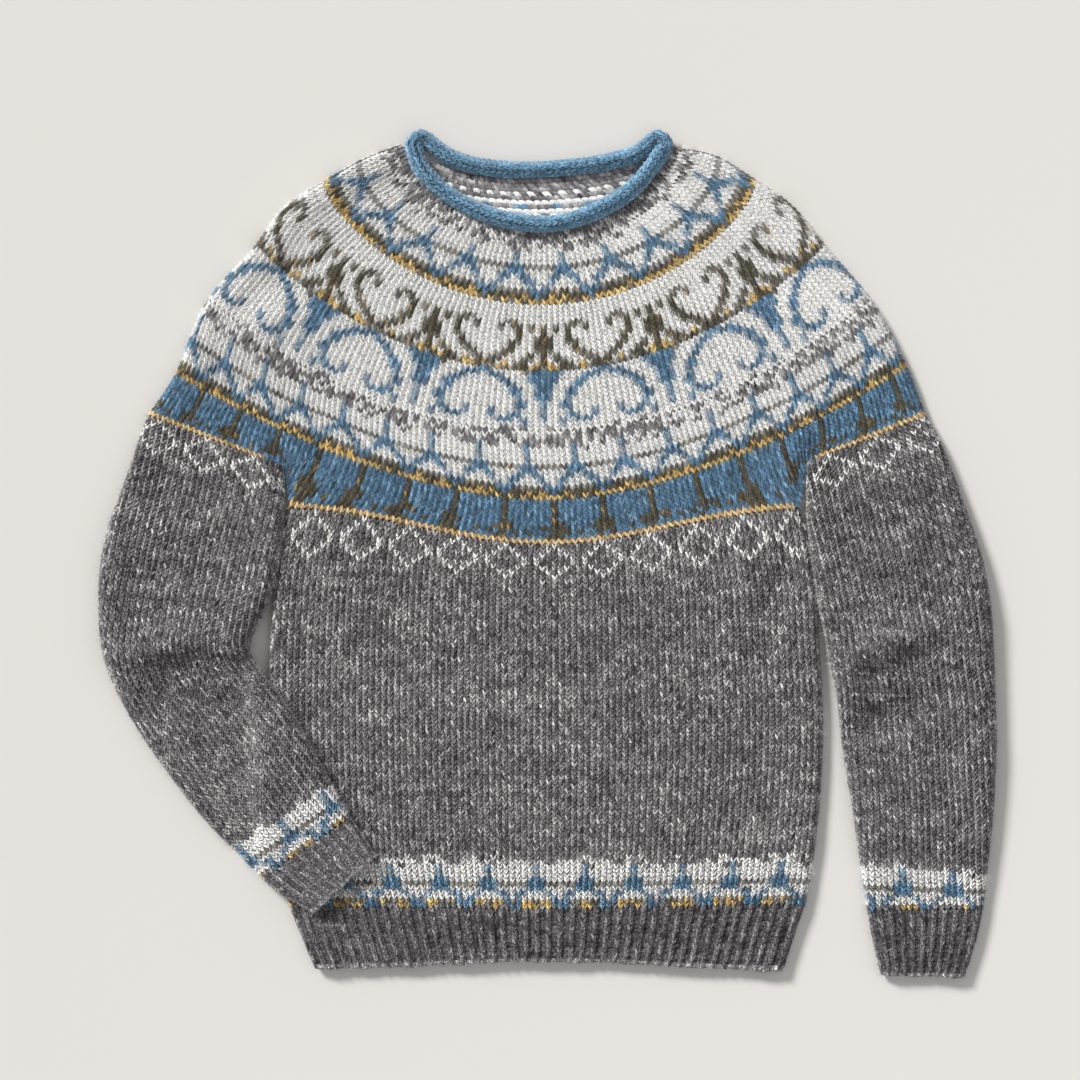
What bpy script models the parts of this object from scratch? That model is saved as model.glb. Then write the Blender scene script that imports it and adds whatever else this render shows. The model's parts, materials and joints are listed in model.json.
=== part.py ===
"""Nordic yoke sweater, laid flat on its back, arms at its sides.

One forearm is folded in over the lower corner of the body.  The garment is
knitted in tubes: body, hem ribbing, round yoke, rolled neckband, two sleeves
and two ribbed cuffs.  Each tube is a wall of real thickness, lying flattened:
its front layer rests on its back layer, and the sides are soft folds.

Tables are in millimetres; the mesh is built in metres.
Frame: origin under the middle of the garment, +X to the wearer's left,
+Y towards the neck, +Z up from the surface it lies on.
"""
import math
import bpy
import bmesh

# ---------------------------------------------------------------- dimensions
MM = 0.001
CENTRE = (0.85, 1.4)    # the garment's middle, in the tables' plan
SEAM = 0.4              # clearance where two knitted pieces meet
PLAIN_WALL = 3.5        # single-colour knit
YOKE_WALL = 4.0         # stranded knit, with floats behind
RIB_WALL = 3.5          # 1x1 ribbing
BODY_THICK = 10.0       # two layers and the air between them
YOKE_THICK = 11.0
NECK_THICK = 9.0        # yoke at the neckband
ROLL_RADIUS = 6.2       # neckband, rolled on itself
ROLL_WALL = 3.0
REST = 10.8             # forearm's underside above the floor where it is on the body
RAMP_FAR, RAMP_NEAR = 24.0, 6.0   # where the forearm leaves the floor, from the body's edge

# Body: one row for each cross-section, neck end first.
# left_x, left_y, right_x, right_y, mid_y, thick
BODY = [
    (-220.0,   40.0, 216.0,   39.0,    9.5, 11.0),
    (-224.0,   22.0, 221.0,   21.0,   -3.0, 10.6),
    (-227.5,    2.0, 224.5,    2.0,  -18.0, 10.2),
    (-232.0,  -30.0, 229.5,  -30.0,  -44.0, 10.0),
    (-236.0,  -73.0, 233.0,  -73.0,  -83.0, 10.0),
    (-237.0, -125.0, 236.0, -125.0, -131.0, 10.0),
    (-236.0, -176.0, 236.0, -176.0, -180.0, 10.0),
    (-233.0, -228.0, 232.0, -228.0, -231.0, 10.0),
    (-229.0, -262.0, 228.0, -262.0, -264.0, 10.0),
    (-219.5, -301.0, 221.5, -299.0, -303.0, 10.0),
]
HEM = [
    (-219.5, -301.0, 221.5, -299.0, -303.0, 10.0),
    (-211.0, -323.0, 213.5, -322.0, -325.0, 10.0),
    (-198.0, -353.5, 203.0, -354.5, -347.5, 10.0),
]

# Yoke: rounds counted up from the tan line under the blue band.
# round, left_x, left_y, mid_x, mid_y, right_x, right_y, back_mid_y, power, ellipse
YOKE = [
    (10.5, -317.0, 157.0, -1.0,  49.0, 308.0, 163.0,  47.0, 1.75, 0.0),
    (25.0, -292.0, 216.0, -5.0, 103.0, 280.0, 216.0, 109.0, 2.10, 0.0),
    (40.0, -248.5, 266.5, -5.0, 158.0, 237.5, 266.5, 178.0, 2.05, 0.1),
    (48.0, -225.5, 298.0, -5.0, 187.0, 211.0, 299.0, 215.0, 2.05, 0.3),
    (56.0, -190.5, 320.5, -4.0, 215.0, 179.0, 321.5, 252.0, 2.10, 0.5),
    (64.0, -158.5, 339.0, -3.5, 248.5, 145.5, 342.0, 289.0, 2.10, 0.8),
]
YOKE_ROUNDS = (0.0, 5.0, 10.5, 20.0, 32.0, 44.0, 56.0, 64.0, 73.0)
YOKE_TOP = 73.0
# Yoke's lowest round: shoulder fold, armhole (sleeve side, body side), middle.
LOWEST = dict(left=(-341.0, 120.0), arm_left=(-226.0, 76.0), body_left=(-220.0, 40.0),
              mid=(-1.0, 9.5),
              body_right=(216.0, 39.0), arm_right=(225.0, 80.0), right=(325.0, 119.5))
# Share of the half-round, from the middle, at the armhole.
SHARE_BODY, SHARE_ARM = 0.575, 0.685
# The yoke's columns, as shares of the half-round from the middle to the fold.
SHARES = (0.0, 0.1, 0.2, 0.3, 0.39, 0.48, SHARE_BODY, 0.63, SHARE_ARM, 0.78, 0.86, 0.93, 1.0)

# Neckband's middle line, once round: x, y, z, radius
NECK = [
    (-113.0, 346.0, 10.9, 6.2), (-107.0, 331.0, 10.9, 6.2), (-95.0, 317.5, 10.9, 6.2),
    (-80.0, 306.0, 10.9, 6.2), (-63.0, 297.0, 10.9, 6.2), (-45.0, 290.0, 10.9, 6.2),
    (-25.0, 285.5, 10.9, 6.2), (-3.0, 283.5, 10.9, 6.2), (18.0, 286.0, 10.9, 6.2),
    (41.0, 294.0, 10.9, 6.2), (61.0, 304.5, 10.9, 6.2), (76.0, 316.0, 10.9, 6.2),
    (88.0, 330.0, 10.9, 6.2), (97.5, 343.5, 10.9, 6.2), (101.6, 352.0, 9.9, 5.8),
    (95.4, 358.3, 8.4, 5.4), (88.4, 353.0, 6.9, 5.8), (81.0, 346.8, 6.3, 6.0),
    (70.0, 341.5, 6.3, 6.2), (40.0, 335.0, 6.3, 6.2), (12.0, 332.0, 6.3, 6.2),
    (-14.0, 330.5, 6.3, 6.2), (-38.0, 331.0, 6.3, 6.2), (-62.0, 334.5, 6.3, 6.2),
    (-80.0, 340.0, 6.3, 6.2), (-91.5, 346.5, 6.3, 6.0), (-99.6, 353.2, 7.0, 5.8),
    (-106.8, 358.6, 8.4, 5.4), (-113.4, 353.6, 9.9, 5.8),
]
NECK_FRONT = 15          # the first points of NECK are the front edge
# Yoke's top round on the back layer, under the neckband: x, y
BACK_NECK = [(-118.0, 344.0), (-108.0, 339.5), (-97.0, 337.0), (-85.0, 332.0), (-66.0, 326.5),
             (-40.0, 323.4), (-14.0, 323.0), (12.0, 324.4), (38.0, 327.2), (56.0, 330.5),
             (69.0, 334.3), (80.0, 338.0), (92.0, 338.5), (103.0, 341.5)]
NECK_SIDE_L, NECK_SIDE_R = (-125.5, 352.0), (112.8, 349.5)

# Sleeves: one row for each cross-section, shoulder end first.
# outer_x, outer_y, inner_x, inner_y, thick, on_body (0 on the floor, 1 over the body)
SLEEVE_FOLDED = [
    (-341.0,  120.0, -227.0,   76.0, 11.0, 0.0),
    (-350.0,   95.0, -227.6,   50.0, 12.0, 0.0),
    (-361.0,   63.0, -228.2,   25.0, 13.0, 0.0),
    (-373.0,   30.0, -230.2,   -1.0, 14.0, 0.0),
    (-380.0,    3.0, -234.0,  -24.0, 14.0, 0.0),
    (-383.0,  -26.0, -240.0,  -42.0, 14.0, 0.0),
    (-383.0,  -52.0, -247.0,  -58.0, 14.0, 0.0),
    (-381.0,  -77.0, -253.0,  -71.0, 14.0, 0.2),
    (-374.0, -103.0, -254.5,  -84.0, 14.0, 0.7),
    (-360.0, -132.0, -246.0,  -98.0, 13.5, 1.0),
    (-341.0, -163.0, -229.0, -118.0, 13.0, 1.0),
    (-322.0, -189.0, -216.0, -138.0, 12.5, 1.0),
    (-300.0, -218.0, -203.0, -161.0, 12.0, 1.0),
    (-279.0, -241.0, -190.0, -185.0, 11.5, 1.0),
    (-258.0, -262.0, -178.0, -208.0, 11.0, 1.0),
    (-243.5, -276.5, -169.0, -224.0, 10.5, 1.0),
]
CUFF_FOLDED = [
    (-243.5, -276.5, -169.0, -224.0, 10.5, 1.0),
    (-232.0, -285.0, -162.5, -233.5, 10.0, 1.0),
    (-222.0, -292.0, -157.0, -241.5, 10.0, 1.0),
    (-211.0, -298.5, -152.0, -249.5, 10.0, 1.0),
    (-199.0, -304.5, -147.5, -257.0, 10.0, 1.0),
]
SLEEVE_STRAIGHT = [
    (325.0,  119.5, 226.0,   80.0, 11.0, 0.0),
    (338.0,   95.0, 226.8,   54.0, 12.0, 0.0),
    (350.0,   64.0, 228.0,   30.0, 13.0, 0.0),
    (362.0,   30.0, 229.8,    6.0, 14.0, 0.0),
    (373.0,   -4.0, 232.5,  -22.0, 14.0, 0.0),
    (380.0,  -43.0, 235.8,  -46.0, 14.0, 0.0),
    (382.0,  -70.0, 239.5,  -69.0, 14.0, 0.0),
    (383.0,  -95.0, 242.5,  -92.0, 14.0, 0.0),
    (384.0, -120.0, 249.0, -116.0, 14.0, 0.0),
    (385.0, -155.0, 252.5, -146.0, 14.0, 0.0),
    (384.0, -192.0, 257.0, -181.0, 13.0, 0.0),
    (382.0, -224.0, 263.0, -215.0, 12.5, 0.0),
    (378.0, -264.0, 268.5, -254.0, 12.0, 0.0),
    (374.0, -303.0, 276.0, -304.0, 10.5, 0.0),
]
CUFF_STRAIGHT = [
    (374.0, -303.0, 276.0, -304.0, 10.5, 0.0),
    (368.0, -331.0, 281.0, -331.0, 10.0, 0.0),
    (358.0, -361.0, 288.0, -359.5, 10.0, 0.0),
]


# ---------------------------------------------------------------- small maths
def lerp(a, b, t):
    return tuple(p + (q - p) * t for p, q in zip(a, b))


def smooth(t):
    t = max(0.0, min(1.0, t))
    return t * t * (3.0 - 2.0 * t)


def catmull(p0, p1, p2, p3, t):
    """Point between p1 and p2 on the smooth curve through all four."""
    return tuple(0.5 * (2 * b + (c - a) * t + (2 * a - 5 * b + 4 * c - d) * t * t
                        + (3 * b - a - 3 * c + d) * t ** 3)
                 for a, b, c, d in zip(p0, p1, p2, p3))


def refine(rows, cuts, start=0):
    """Adds smooth in-between rows, cuts for each gap in the table from start on."""
    out = []
    last = len(rows) - 1
    for i in range(last):
        a = rows[max(0, i - 1)]
        d = rows[min(last, i + 2)]
        steps = cuts if i >= start else 1
        for k in range(steps):
            out.append(catmull(a, rows[i], rows[i + 1], d, k / steps))
    out.append(tuple(rows[last]))
    return out


def arc_sample(points, distances):
    """Points at given distances along an open plan line."""
    out = []
    i, run = 0, 0.0
    for dist in distances:
        while True:
            a, b = points[i], points[i + 1]
            seg = math.dist(a, b)
            if dist <= run + seg or i == len(points) - 2:
                out.append(lerp(a, b, (dist - run) / seg if seg else 0.0))
                break
            run += seg
            i += 1
    return out


def length(points):
    return sum(math.dist(a, b) for a, b in zip(points, points[1:]))


def shares(points, count):
    total = length(points)
    return arc_sample(points, [total * k / count for k in range(count + 1)])


# ---------------------------------------------------------------- the tubes
def flat_ring(front, back, thick, wall, lift):
    """One cross-section of a flattened tube.

    front and back are plan lines from the left fold to the right fold, a point
    for each column.  Returns the outer loop and the inner loop, with the same count.
    """
    radius = thick / 2.0
    turn = [math.radians(a) for a in (0.0, 45.0, 90.0)]
    loops = ([], [])
    for side, line in ((1.0, front), (-1.0, back)):
        total = length(line)
        for n, (r, start) in enumerate(((radius, 0.0), (radius - wall, wall))):
            dist = [start + r * (1.0 - math.cos(a)) for a in turn]
            high = [radius + side * r * math.sin(a) for a in turn]
            plan = (arc_sample(line, dist) + list(line[1:-1])
                    + arc_sample(line, [total - d for d in reversed(dist)]))
            high = high + [radius + side * r] * (len(line) - 2) + list(reversed(high))
            pts = [(p[0], p[1], h + lift(p[0], p[1])) for p, h in zip(plan, high)]
            if side > 0:
                loops[n].extend(pts)
            else:
                loops[n].extend(list(reversed(pts[1:-1])))
    return loops


def place(x, y, z):
    """Table millimetres to metres about the garment's own middle."""
    return ((x - CENTRE[0]) * MM, (y - CENTRE[1]) * MM, z * MM)


def tube(name, rings, colour, collection):
    """Closed wall through the rings: outside, inside and the two open ends' edges."""
    bm = bmesh.new()
    outer = [[bm.verts.new(place(*p)) for p in ring[0]] for ring in rings]
    inner = [[bm.verts.new(place(*p)) for p in ring[1]] for ring in rings]
    count = len(outer[0])
    for k in range(count):
        j = (k + 1) % count
        for a, b in zip(outer, outer[1:]):
            bm.faces.new((a[k], a[j], b[j], b[k]))
        for a, b in zip(inner, inner[1:]):
            bm.faces.new((a[j], a[k], b[k], b[j]))
        bm.faces.new((outer[0][j], outer[0][k], inner[0][k], inner[0][j]))
        bm.faces.new((outer[-1][k], outer[-1][j], inner[-1][j], inner[-1][k]))
    return finish(bm, name, colour, collection)


def finish(bm, name, colour, collection):
    bmesh.ops.triangulate(bm, faces=bm.faces[:])
    bmesh.ops.recalc_face_normals(bm, faces=bm.faces[:])
    mesh = bpy.data.meshes.new(name)
    bm.to_mesh(mesh)
    bm.free()
    mesh.shade_smooth()
    mesh.set_sharp_from_angle(angle=math.radians(50.0))
    obj = bpy.data.objects.new(name, mesh)
    collection.objects.link(obj)
    mat = bpy.data.materials.new(name + "_wool")
    mat.use_nodes = True
    bsdf = mat.node_tree.nodes["Principled BSDF"]
    bsdf.inputs["Base Color"].default_value = (*colour, 1.0)
    bsdf.inputs["Roughness"].default_value = 0.95
    bsdf.inputs["Metallic"].default_value = 0.0
    mat.diffuse_color = (*colour, 1.0)
    mesh.materials.append(mat)
    return obj


# ---------------------------------------------------------------- body and hem
def bow(left, right, mid_x, mid_y):
    """Plan line of a body round, sagging softly between its two side folds."""
    halves = []
    for side in (left, right):
        half = []
        for f in SHARES:
            if f <= SHARE_BODY:
                v = f / SHARE_BODY
                ease = (1.0 - math.cos(math.pi * v)) / 2.0
                half.append((mid_x + (side[0] - mid_x) * v, mid_y + (side[1] - mid_y) * ease))
        halves.append(half)
    return list(reversed(halves[0]))[:-1] + halves[1]


def shift_line(line, dx, dy):
    return [(x + dx, y + dy) for x, y in line]


def body_rings(table, cuts, wall, gap_top, gap_end):
    rows = refine(table, cuts)
    rings = []
    for n, (lx, ly, rx, ry, my, thick) in enumerate(rows):
        line = bow((lx, ly), (rx, ry), -1.0, my)
        if n == 0:
            line = shift_line(line, 0.0, -gap_top)
        if n == len(rows) - 1:
            line = shift_line(line, 0.0, gap_end)
        rings.append(flat_ring(line, line, thick, wall, lambda x, y: 0.0))
    return rings


def body_edge(y):
    """The body's left side fold at this height."""
    side = [(row[1], row[0]) for row in BODY + HEM[1:]]
    for (ya, xa), (yb, xb) in zip(side, side[1:]):
        if yb <= y <= ya:
            return xa + (xb - xa) * (ya - y) / (ya - yb)
    return side[0][1] if y > side[0][0] else side[-1][1]


# ---------------------------------------------------------------- yoke
def arch(row):
    """Plan line of a yoke round from the left shoulder fold to the right one."""
    _, lx, ly, mx, my, rx, ry, _, power, ellipse = row
    pts = []
    steps = 24
    for k in range(-steps, steps + 1):
        v = math.sin(abs(k) / steps * math.pi / 2.0)
        g = (1.0 - ellipse) * v ** power + ellipse * (1.0 - math.sqrt(max(0.0, 1.0 - v * v)))
        x, y = (lx, ly) if k < 0 else (rx, ry)
        pts.append((mx + (x - mx) * v, my + (y - my) * g))
    return pts


def half_shares(points, middle):
    """Points at the columns' shares of each half, from left fold to right fold."""
    left = list(reversed(points[:middle + 1]))
    right = points[middle:]
    a = arc_sample(left, [length(left) * f for f in SHARES])
    b = arc_sample(right, [length(right) * f for f in SHARES])
    return list(reversed(a))[:-1] + b


def lowest_half(side):
    """The yoke's lowest round from the middle out; it steps at the armhole."""
    mid = LOWEST["mid"]
    fold, arm, body = LOWEST[side], LOWEST["arm_" + side], LOWEST["body_" + side]
    pts = []
    for f in SHARES:
        if f <= SHARE_BODY:
            v = f / SHARE_BODY
            ease = (1.0 - math.cos(math.pi * v)) / 2.0
            pts.append((mid[0] + (body[0] - mid[0]) * v, mid[1] + (body[1] - mid[1]) * ease))
        elif f <= SHARE_ARM:
            pts.append(lerp(body, arm, (f - SHARE_BODY) / (SHARE_ARM - SHARE_BODY)))
        else:
            pts.append(lerp(arm, fold, (f - SHARE_ARM) / (1.0 - SHARE_ARM)))
    return pts


def lowest_round():
    return list(reversed(lowest_half("left")))[:-1] + lowest_half("right")


def highest_round():
    """The yoke's top edge, just outside the front of the neckband."""
    line = refine([p[:2] for p in NECK[:NECK_FRONT]], 4)
    off = ROLL_RADIUS + SEAM + 0.3
    out = [NECK_SIDE_L]
    for i in range(1, len(line) - 1):
        (ax, ay), (bx, by) = line[i - 1], line[i + 1]
        d = math.hypot(bx - ax, by - ay)
        out.append((line[i][0] + (by - ay) / d * off, line[i][1] - (bx - ax) / d * off))
    out.append(NECK_SIDE_R)
    middle = min(range(len(out)), key=lambda n: out[n][1])
    return half_shares(out, middle)


def yoke_lines(back):
    """Plan lines of the named rounds, every one with the same count of columns."""
    lines = [(0.0, lowest_round())]
    for row in YOKE:
        if back:
            row = row[:4] + (row[7],) + row[5:]
        pts = arch(row)
        lines.append((row[0], half_shares(pts, 24)))
    if back:
        edge = [NECK_SIDE_L] + refine(BACK_NECK, 2) + [NECK_SIDE_R]
        middle = min(range(len(edge)), key=lambda n: edge[n][1])
        lines.append((YOKE_TOP, half_shares(edge, middle)))
    else:
        lines.append((YOKE_TOP, highest_round()))
    return lines


def yoke_round(lines, r):
    last = len(lines) - 1
    i = max(n for n in range(last) if lines[n][0] <= r + 1e-9)
    t = (r - lines[i][0]) / (lines[i + 1][0] - lines[i][0])
    four = [lines[max(0, i - 1)][1], lines[i][1], lines[i + 1][1], lines[min(last, i + 2)][1]]
    if r <= 10.5:
        return [lerp(b, c, t) for b, c in zip(four[1], four[2])]
    return [catmull(a, b, c, d, t) for a, b, c, d in zip(*four)]


def yoke_rings():
    front, back = yoke_lines(False), yoke_lines(True)
    rings = []
    for r in YOKE_ROUNDS:
        f, b = yoke_round(front, r), yoke_round(back, r)
        thick = YOKE_THICK + (NECK_THICK - YOKE_THICK) * smooth((r - 56.0) / 17.0)
        rings.append(flat_ring(f, b, thick, YOKE_WALL, lambda x, y: 0.0))
    return rings


# ---------------------------------------------------------------- sleeves
def sleeve_rings(table, cuts, start, wall, across, gap_top, gap_end):
    rows = refine(table, cuts, start)
    rings = []
    for n, (ox, oy, ix, iy, thick, on_body) in enumerate(rows):
        if n in (0, len(rows) - 1):
            # the end rings step back along the sleeve, for the seam
            near = rows[1] if n == 0 else rows[n - 1]
            gap = gap_top if n == 0 else gap_end
            a = lerp((ox, oy), near[0:2], gap / math.dist((ox, oy), near[0:2]))
            b = lerp((ix, iy), near[2:4], gap / math.dist((ix, iy), near[2:4]))
        else:
            a, b = (ox, oy), (ix, iy)

        def lift(x, y, on=on_body):
            edge = body_edge(y)
            return REST * on * smooth((x - (edge - RAMP_FAR)) / (RAMP_FAR - RAMP_NEAR))

        left, right = (a, b) if a[0] < b[0] else (b, a)
        line = shares([left, right], across)
        rings.append(flat_ring(line, line, thick, wall, lift))
    return rings


# ---------------------------------------------------------------- neckband
def neckband(name, colour, collection):
    """The band curls outward on itself: a C-shaped wall carried round the neck."""
    closed = NECK + NECK[:1]
    path = []
    last = len(NECK)
    for i in range(last):
        four = [NECK[(i + k) % last] for k in (-1, 0, 1, 2)]
        steps = 2
        for k in range(steps):
            path.append(catmull(*four, k / steps))
    count = len(path)
    # section: out along the outside, back along the inside; slit faces down and out
    open_from, open_to, sides = -35.0, -325.0, 6
    angles = [math.radians(open_from + (open_to - open_from) * k / sides) for k in range(sides + 1)]
    bm = bmesh.new()
    loops = []
    for i in range(count):
        x, y, z, r = path[i]
        ax, ay = path[i - 1][:2]
        bx, by = path[(i + 1) % count][:2]
        d = math.hypot(bx - ax, by - ay)
        out_x, out_y = (by - ay) / d, -(bx - ax) / d      # away from the opening
        turn = math.radians(-20.0)
        sect = [(r, a + turn) for a in angles] + [(r - ROLL_WALL, a + turn) for a in reversed(angles)]
        loops.append([bm.verts.new(place(x + out_x * rad * math.cos(a),
                                         y + out_y * rad * math.cos(a),
                                         z + rad * math.sin(a))) for rad, a in sect])
    size = len(loops[0])
    for i in range(count):
        a, b = loops[i], loops[(i + 1) % count]
        for k in range(size):
            j = (k + 1) % size
            bm.faces.new((a[k], a[j], b[j], b[k]))
    return finish(bm, name, colour, collection)


# ---------------------------------------------------------------- build
def main():
    for obj in list(bpy.data.objects):
        bpy.data.objects.remove(obj, do_unlink=True)
    sweater = bpy.data.collections.new("nordic_yoke_sweater")
    bpy.context.scene.collection.children.link(sweater)

    heather, blue, white = (0.13, 0.12, 0.125), (0.06, 0.16, 0.30), (0.62, 0.60, 0.55)
    half = SEAM / 2.0
    tube("body", body_rings(BODY, 1, PLAIN_WALL, SEAM, half), heather, sweater)
    tube("hem_rib", body_rings(HEM, 1, RIB_WALL, half, 0.0), heather, sweater)
    yoke = yoke_rings()
    tube("yoke", yoke, white, sweater)
    tube("sleeve_folded", sleeve_rings(SLEEVE_FOLDED, 2, 8, PLAIN_WALL, 9, SEAM, half), heather, sweater)
    tube("cuff_folded", sleeve_rings(CUFF_FOLDED, 1, 0, RIB_WALL, 9, half, 0.0), heather, sweater)
    tube("sleeve_straight", sleeve_rings(SLEEVE_STRAIGHT, 1, 0, PLAIN_WALL, 8, SEAM, half), heather, sweater)
    tube("cuff_straight", sleeve_rings(CUFF_STRAIGHT, 1, 0, RIB_WALL, 8, half, 0.0), heather, sweater)
    neckband("neck_roll", blue, sweater)


main()
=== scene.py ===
"""Nordic yoke sweater laid flat: knitted surfaces, stitch by stitch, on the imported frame.

Tables are the garment's own sizes in millimetres, as in part.py; meshes are in metres.
Every knitted surface is a base form (a flattened tube with its puffs and creases) and,
on it, rows of stitches: each stitch is two slanted legs, coloured from a small chart.
"""
import json
import math

import bpy
import numpy as np
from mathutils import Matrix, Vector

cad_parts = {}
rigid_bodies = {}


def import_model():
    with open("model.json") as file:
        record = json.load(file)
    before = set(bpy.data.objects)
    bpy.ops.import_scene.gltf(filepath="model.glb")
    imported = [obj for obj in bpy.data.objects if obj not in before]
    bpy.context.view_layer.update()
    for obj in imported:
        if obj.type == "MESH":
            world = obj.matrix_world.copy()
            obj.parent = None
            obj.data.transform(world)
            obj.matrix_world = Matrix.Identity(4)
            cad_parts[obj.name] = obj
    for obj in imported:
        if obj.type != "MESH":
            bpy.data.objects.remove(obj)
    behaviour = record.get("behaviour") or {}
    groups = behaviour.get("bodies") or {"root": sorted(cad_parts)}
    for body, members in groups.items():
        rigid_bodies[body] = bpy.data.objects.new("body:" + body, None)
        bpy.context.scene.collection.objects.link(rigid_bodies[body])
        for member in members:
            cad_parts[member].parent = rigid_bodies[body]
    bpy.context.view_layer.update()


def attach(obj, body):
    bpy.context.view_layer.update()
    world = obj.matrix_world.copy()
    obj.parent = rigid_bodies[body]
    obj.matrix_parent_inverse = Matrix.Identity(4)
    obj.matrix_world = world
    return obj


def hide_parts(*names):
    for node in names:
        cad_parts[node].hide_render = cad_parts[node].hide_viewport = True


for _o in list(bpy.data.objects):
    bpy.data.objects.remove(_o, do_unlink=True)

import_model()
RNG = np.random.default_rng(20261)

# ------------------------------------------------------------------ sizes (mm)
CENTRE = (0.85, 1.4)
STITCH, ROW = 5.37, 3.8          # knit gauge
YOKE_TOP = 73.0
SHARE_BODY, SHARE_ARM = 0.575, 0.685
REST, RAMP_FAR, RAMP_NEAR = 10.8, 24.0, 6.0

# left_x, left_y, right_x, right_y, mid_y, thick
BODY = np.array([
    (-221.5,   40.0, 217.5,   39.0,    9.5, 11.0),
    (-225.8,   22.0, 222.8,   21.0,   -3.0, 10.8),
    (-229.2,    2.0, 226.2,    2.0,  -18.0, 10.6),
    (-233.2,  -30.0, 230.8,  -30.0,  -44.0, 10.5),
    (-236.0,  -73.0, 233.0,  -73.0,  -83.0, 10.5),
    (-237.0, -125.0, 236.0, -125.0, -131.0, 10.5),
    (-236.0, -176.0, 236.0, -176.0, -180.0, 10.5),
    (-233.0, -228.0, 232.0, -228.0, -231.0, 10.5),
    (-229.0, -262.0, 228.0, -262.0, -264.0, 10.3),
    (-219.5, -301.0, 221.5, -299.0, -303.0, 10.0),
])
HEM = np.array([
    (-219.5, -301.0, 221.5, -299.0, -303.0, 10.0),
    (-211.0, -323.0, 213.5, -322.0, -325.0, 10.0),
    (-198.0, -353.5, 203.0, -354.5, -347.5, 10.0),
])
# round, left_x, left_y, mid_x, mid_y, right_x, right_y, back_mid_y, power, ellipse
YOKE = [
    (10.5, -317.0, 157.0, -1.0,  49.0, 308.0, 163.0,  47.0, 1.75, 0.0),
    (25.0, -292.0, 216.0, -5.0, 103.0, 280.0, 216.0, 109.0, 2.10, 0.0),
    (40.0, -248.5, 266.5, -5.0, 158.0, 237.5, 266.5, 178.0, 2.05, 0.1),
    (48.0, -225.5, 298.0, -5.0, 187.0, 211.0, 299.0, 215.0, 2.05, 0.3),
    (56.0, -190.5, 320.5, -4.0, 215.0, 179.0, 321.5, 252.0, 2.10, 0.5),
    (64.0, -158.5, 339.0, -3.5, 248.5, 145.5, 342.0, 289.0, 2.10, 0.8),
]
LOWEST = dict(left=(-341.0, 120.0), arm_left=(-226.0, 76.0), body_left=(-220.0, 40.0),
              mid=(-1.0, 9.5),
              body_right=(216.0, 39.0), arm_right=(225.0, 80.0), right=(325.0, 119.5))
# neckband's middle line: x, y, z, radius
NECK = np.array([
    (-113.0, 346.0, 10.9, 6.2), (-107.0, 331.0, 10.9, 6.2), (-95.0, 317.5, 10.9, 6.2),
    (-80.0, 306.0, 10.9, 6.2), (-63.0, 297.0, 10.9, 6.2), (-45.0, 290.0, 10.9, 6.2),
    (-25.0, 285.5, 10.9, 6.2), (-3.0, 283.5, 10.9, 6.2), (18.0, 286.0, 10.9, 6.2),
    (41.0, 294.0, 10.9, 6.2), (61.0, 304.5, 10.9, 6.2), (76.0, 316.0, 10.9, 6.2),
    (88.0, 330.0, 10.9, 6.2), (97.5, 343.5, 10.9, 6.2), (101.6, 352.0, 9.9, 5.8),
    (95.4, 358.3, 8.4, 5.4), (88.4, 353.0, 6.9, 5.8), (81.0, 346.8, 6.3, 6.0),
    (70.0, 341.5, 6.3, 6.2), (40.0, 335.0, 6.3, 6.2), (12.0, 332.0, 6.3, 6.2),
    (-14.0, 330.5, 6.3, 6.2), (-38.0, 331.0, 6.3, 6.2), (-62.0, 334.5, 6.3, 6.2),
    (-80.0, 340.0, 6.3, 6.2), (-91.5, 346.5, 6.3, 6.0), (-99.6, 353.2, 7.0, 5.8),
    (-106.8, 358.6, 8.4, 5.4), (-113.4, 353.6, 9.9, 5.8),
])
NECK_FRONT = 15
BACK_NECK = [(-118.0, 344.0), (-108.0, 339.5), (-97.0, 337.0), (-85.0, 332.0), (-66.0, 326.5),
             (-40.0, 323.4), (-14.0, 323.0), (12.0, 324.4), (38.0, 327.2), (56.0, 330.5),
             (69.0, 334.3), (80.0, 338.0), (92.0, 338.5), (103.0, 341.5)]
NECK_SIDE_L, NECK_SIDE_R = (-125.5, 352.0), (112.8, 349.5)
# outer_x, outer_y, inner_x, inner_y, thick, on_body
SLEEVE_FOLDED = np.array([
    (-341.0,  120.0, -225.4,   76.0, 11.0, 0.0),
    (-350.0,   95.0, -225.2,   50.0, 13.0, 0.0),
    (-361.0,   63.0, -226.4,   25.0, 15.0, 0.0),
    (-373.0,   30.0, -229.2,   -1.0, 16.5, 0.0),
    (-380.0,    3.0, -233.2,  -24.0, 17.0, 0.0),
    (-383.0,  -26.0, -240.0,  -42.0, 17.0, 0.0),
    (-383.0,  -52.0, -247.0,  -58.0, 17.0, 0.0),
    (-381.0,  -77.0, -253.0,  -71.0, 16.5, 0.2),
    (-374.0, -103.0, -254.5,  -84.0, 16.0, 0.7),
    (-360.0, -132.0, -246.0,  -98.0, 15.0, 1.0),
    (-341.0, -163.0, -229.0, -118.0, 14.0, 1.0),
    (-322.0, -189.0, -216.0, -138.0, 13.5, 1.0),
    (-300.0, -218.0, -203.0, -161.0, 13.0, 1.0),
    (-279.0, -241.0, -190.0, -185.0, 12.5, 1.0),
    (-258.0, -262.0, -178.0, -208.0, 11.5, 1.0),
    (-243.5, -276.5, -169.0, -224.0, 10.5, 1.0),
])
CUFF_FOLDED = np.array([
    (-243.5, -276.5, -169.0, -224.0, 10.5, 1.0),
    (-232.0, -285.0, -162.5, -233.5, 10.0, 1.0),
    (-222.0, -292.0, -157.0, -241.5, 10.0, 1.0),
    (-211.0, -298.5, -152.0, -249.5, 10.0, 1.0),
    (-199.0, -304.5, -147.5, -257.0, 10.0, 1.0),
])
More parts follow.
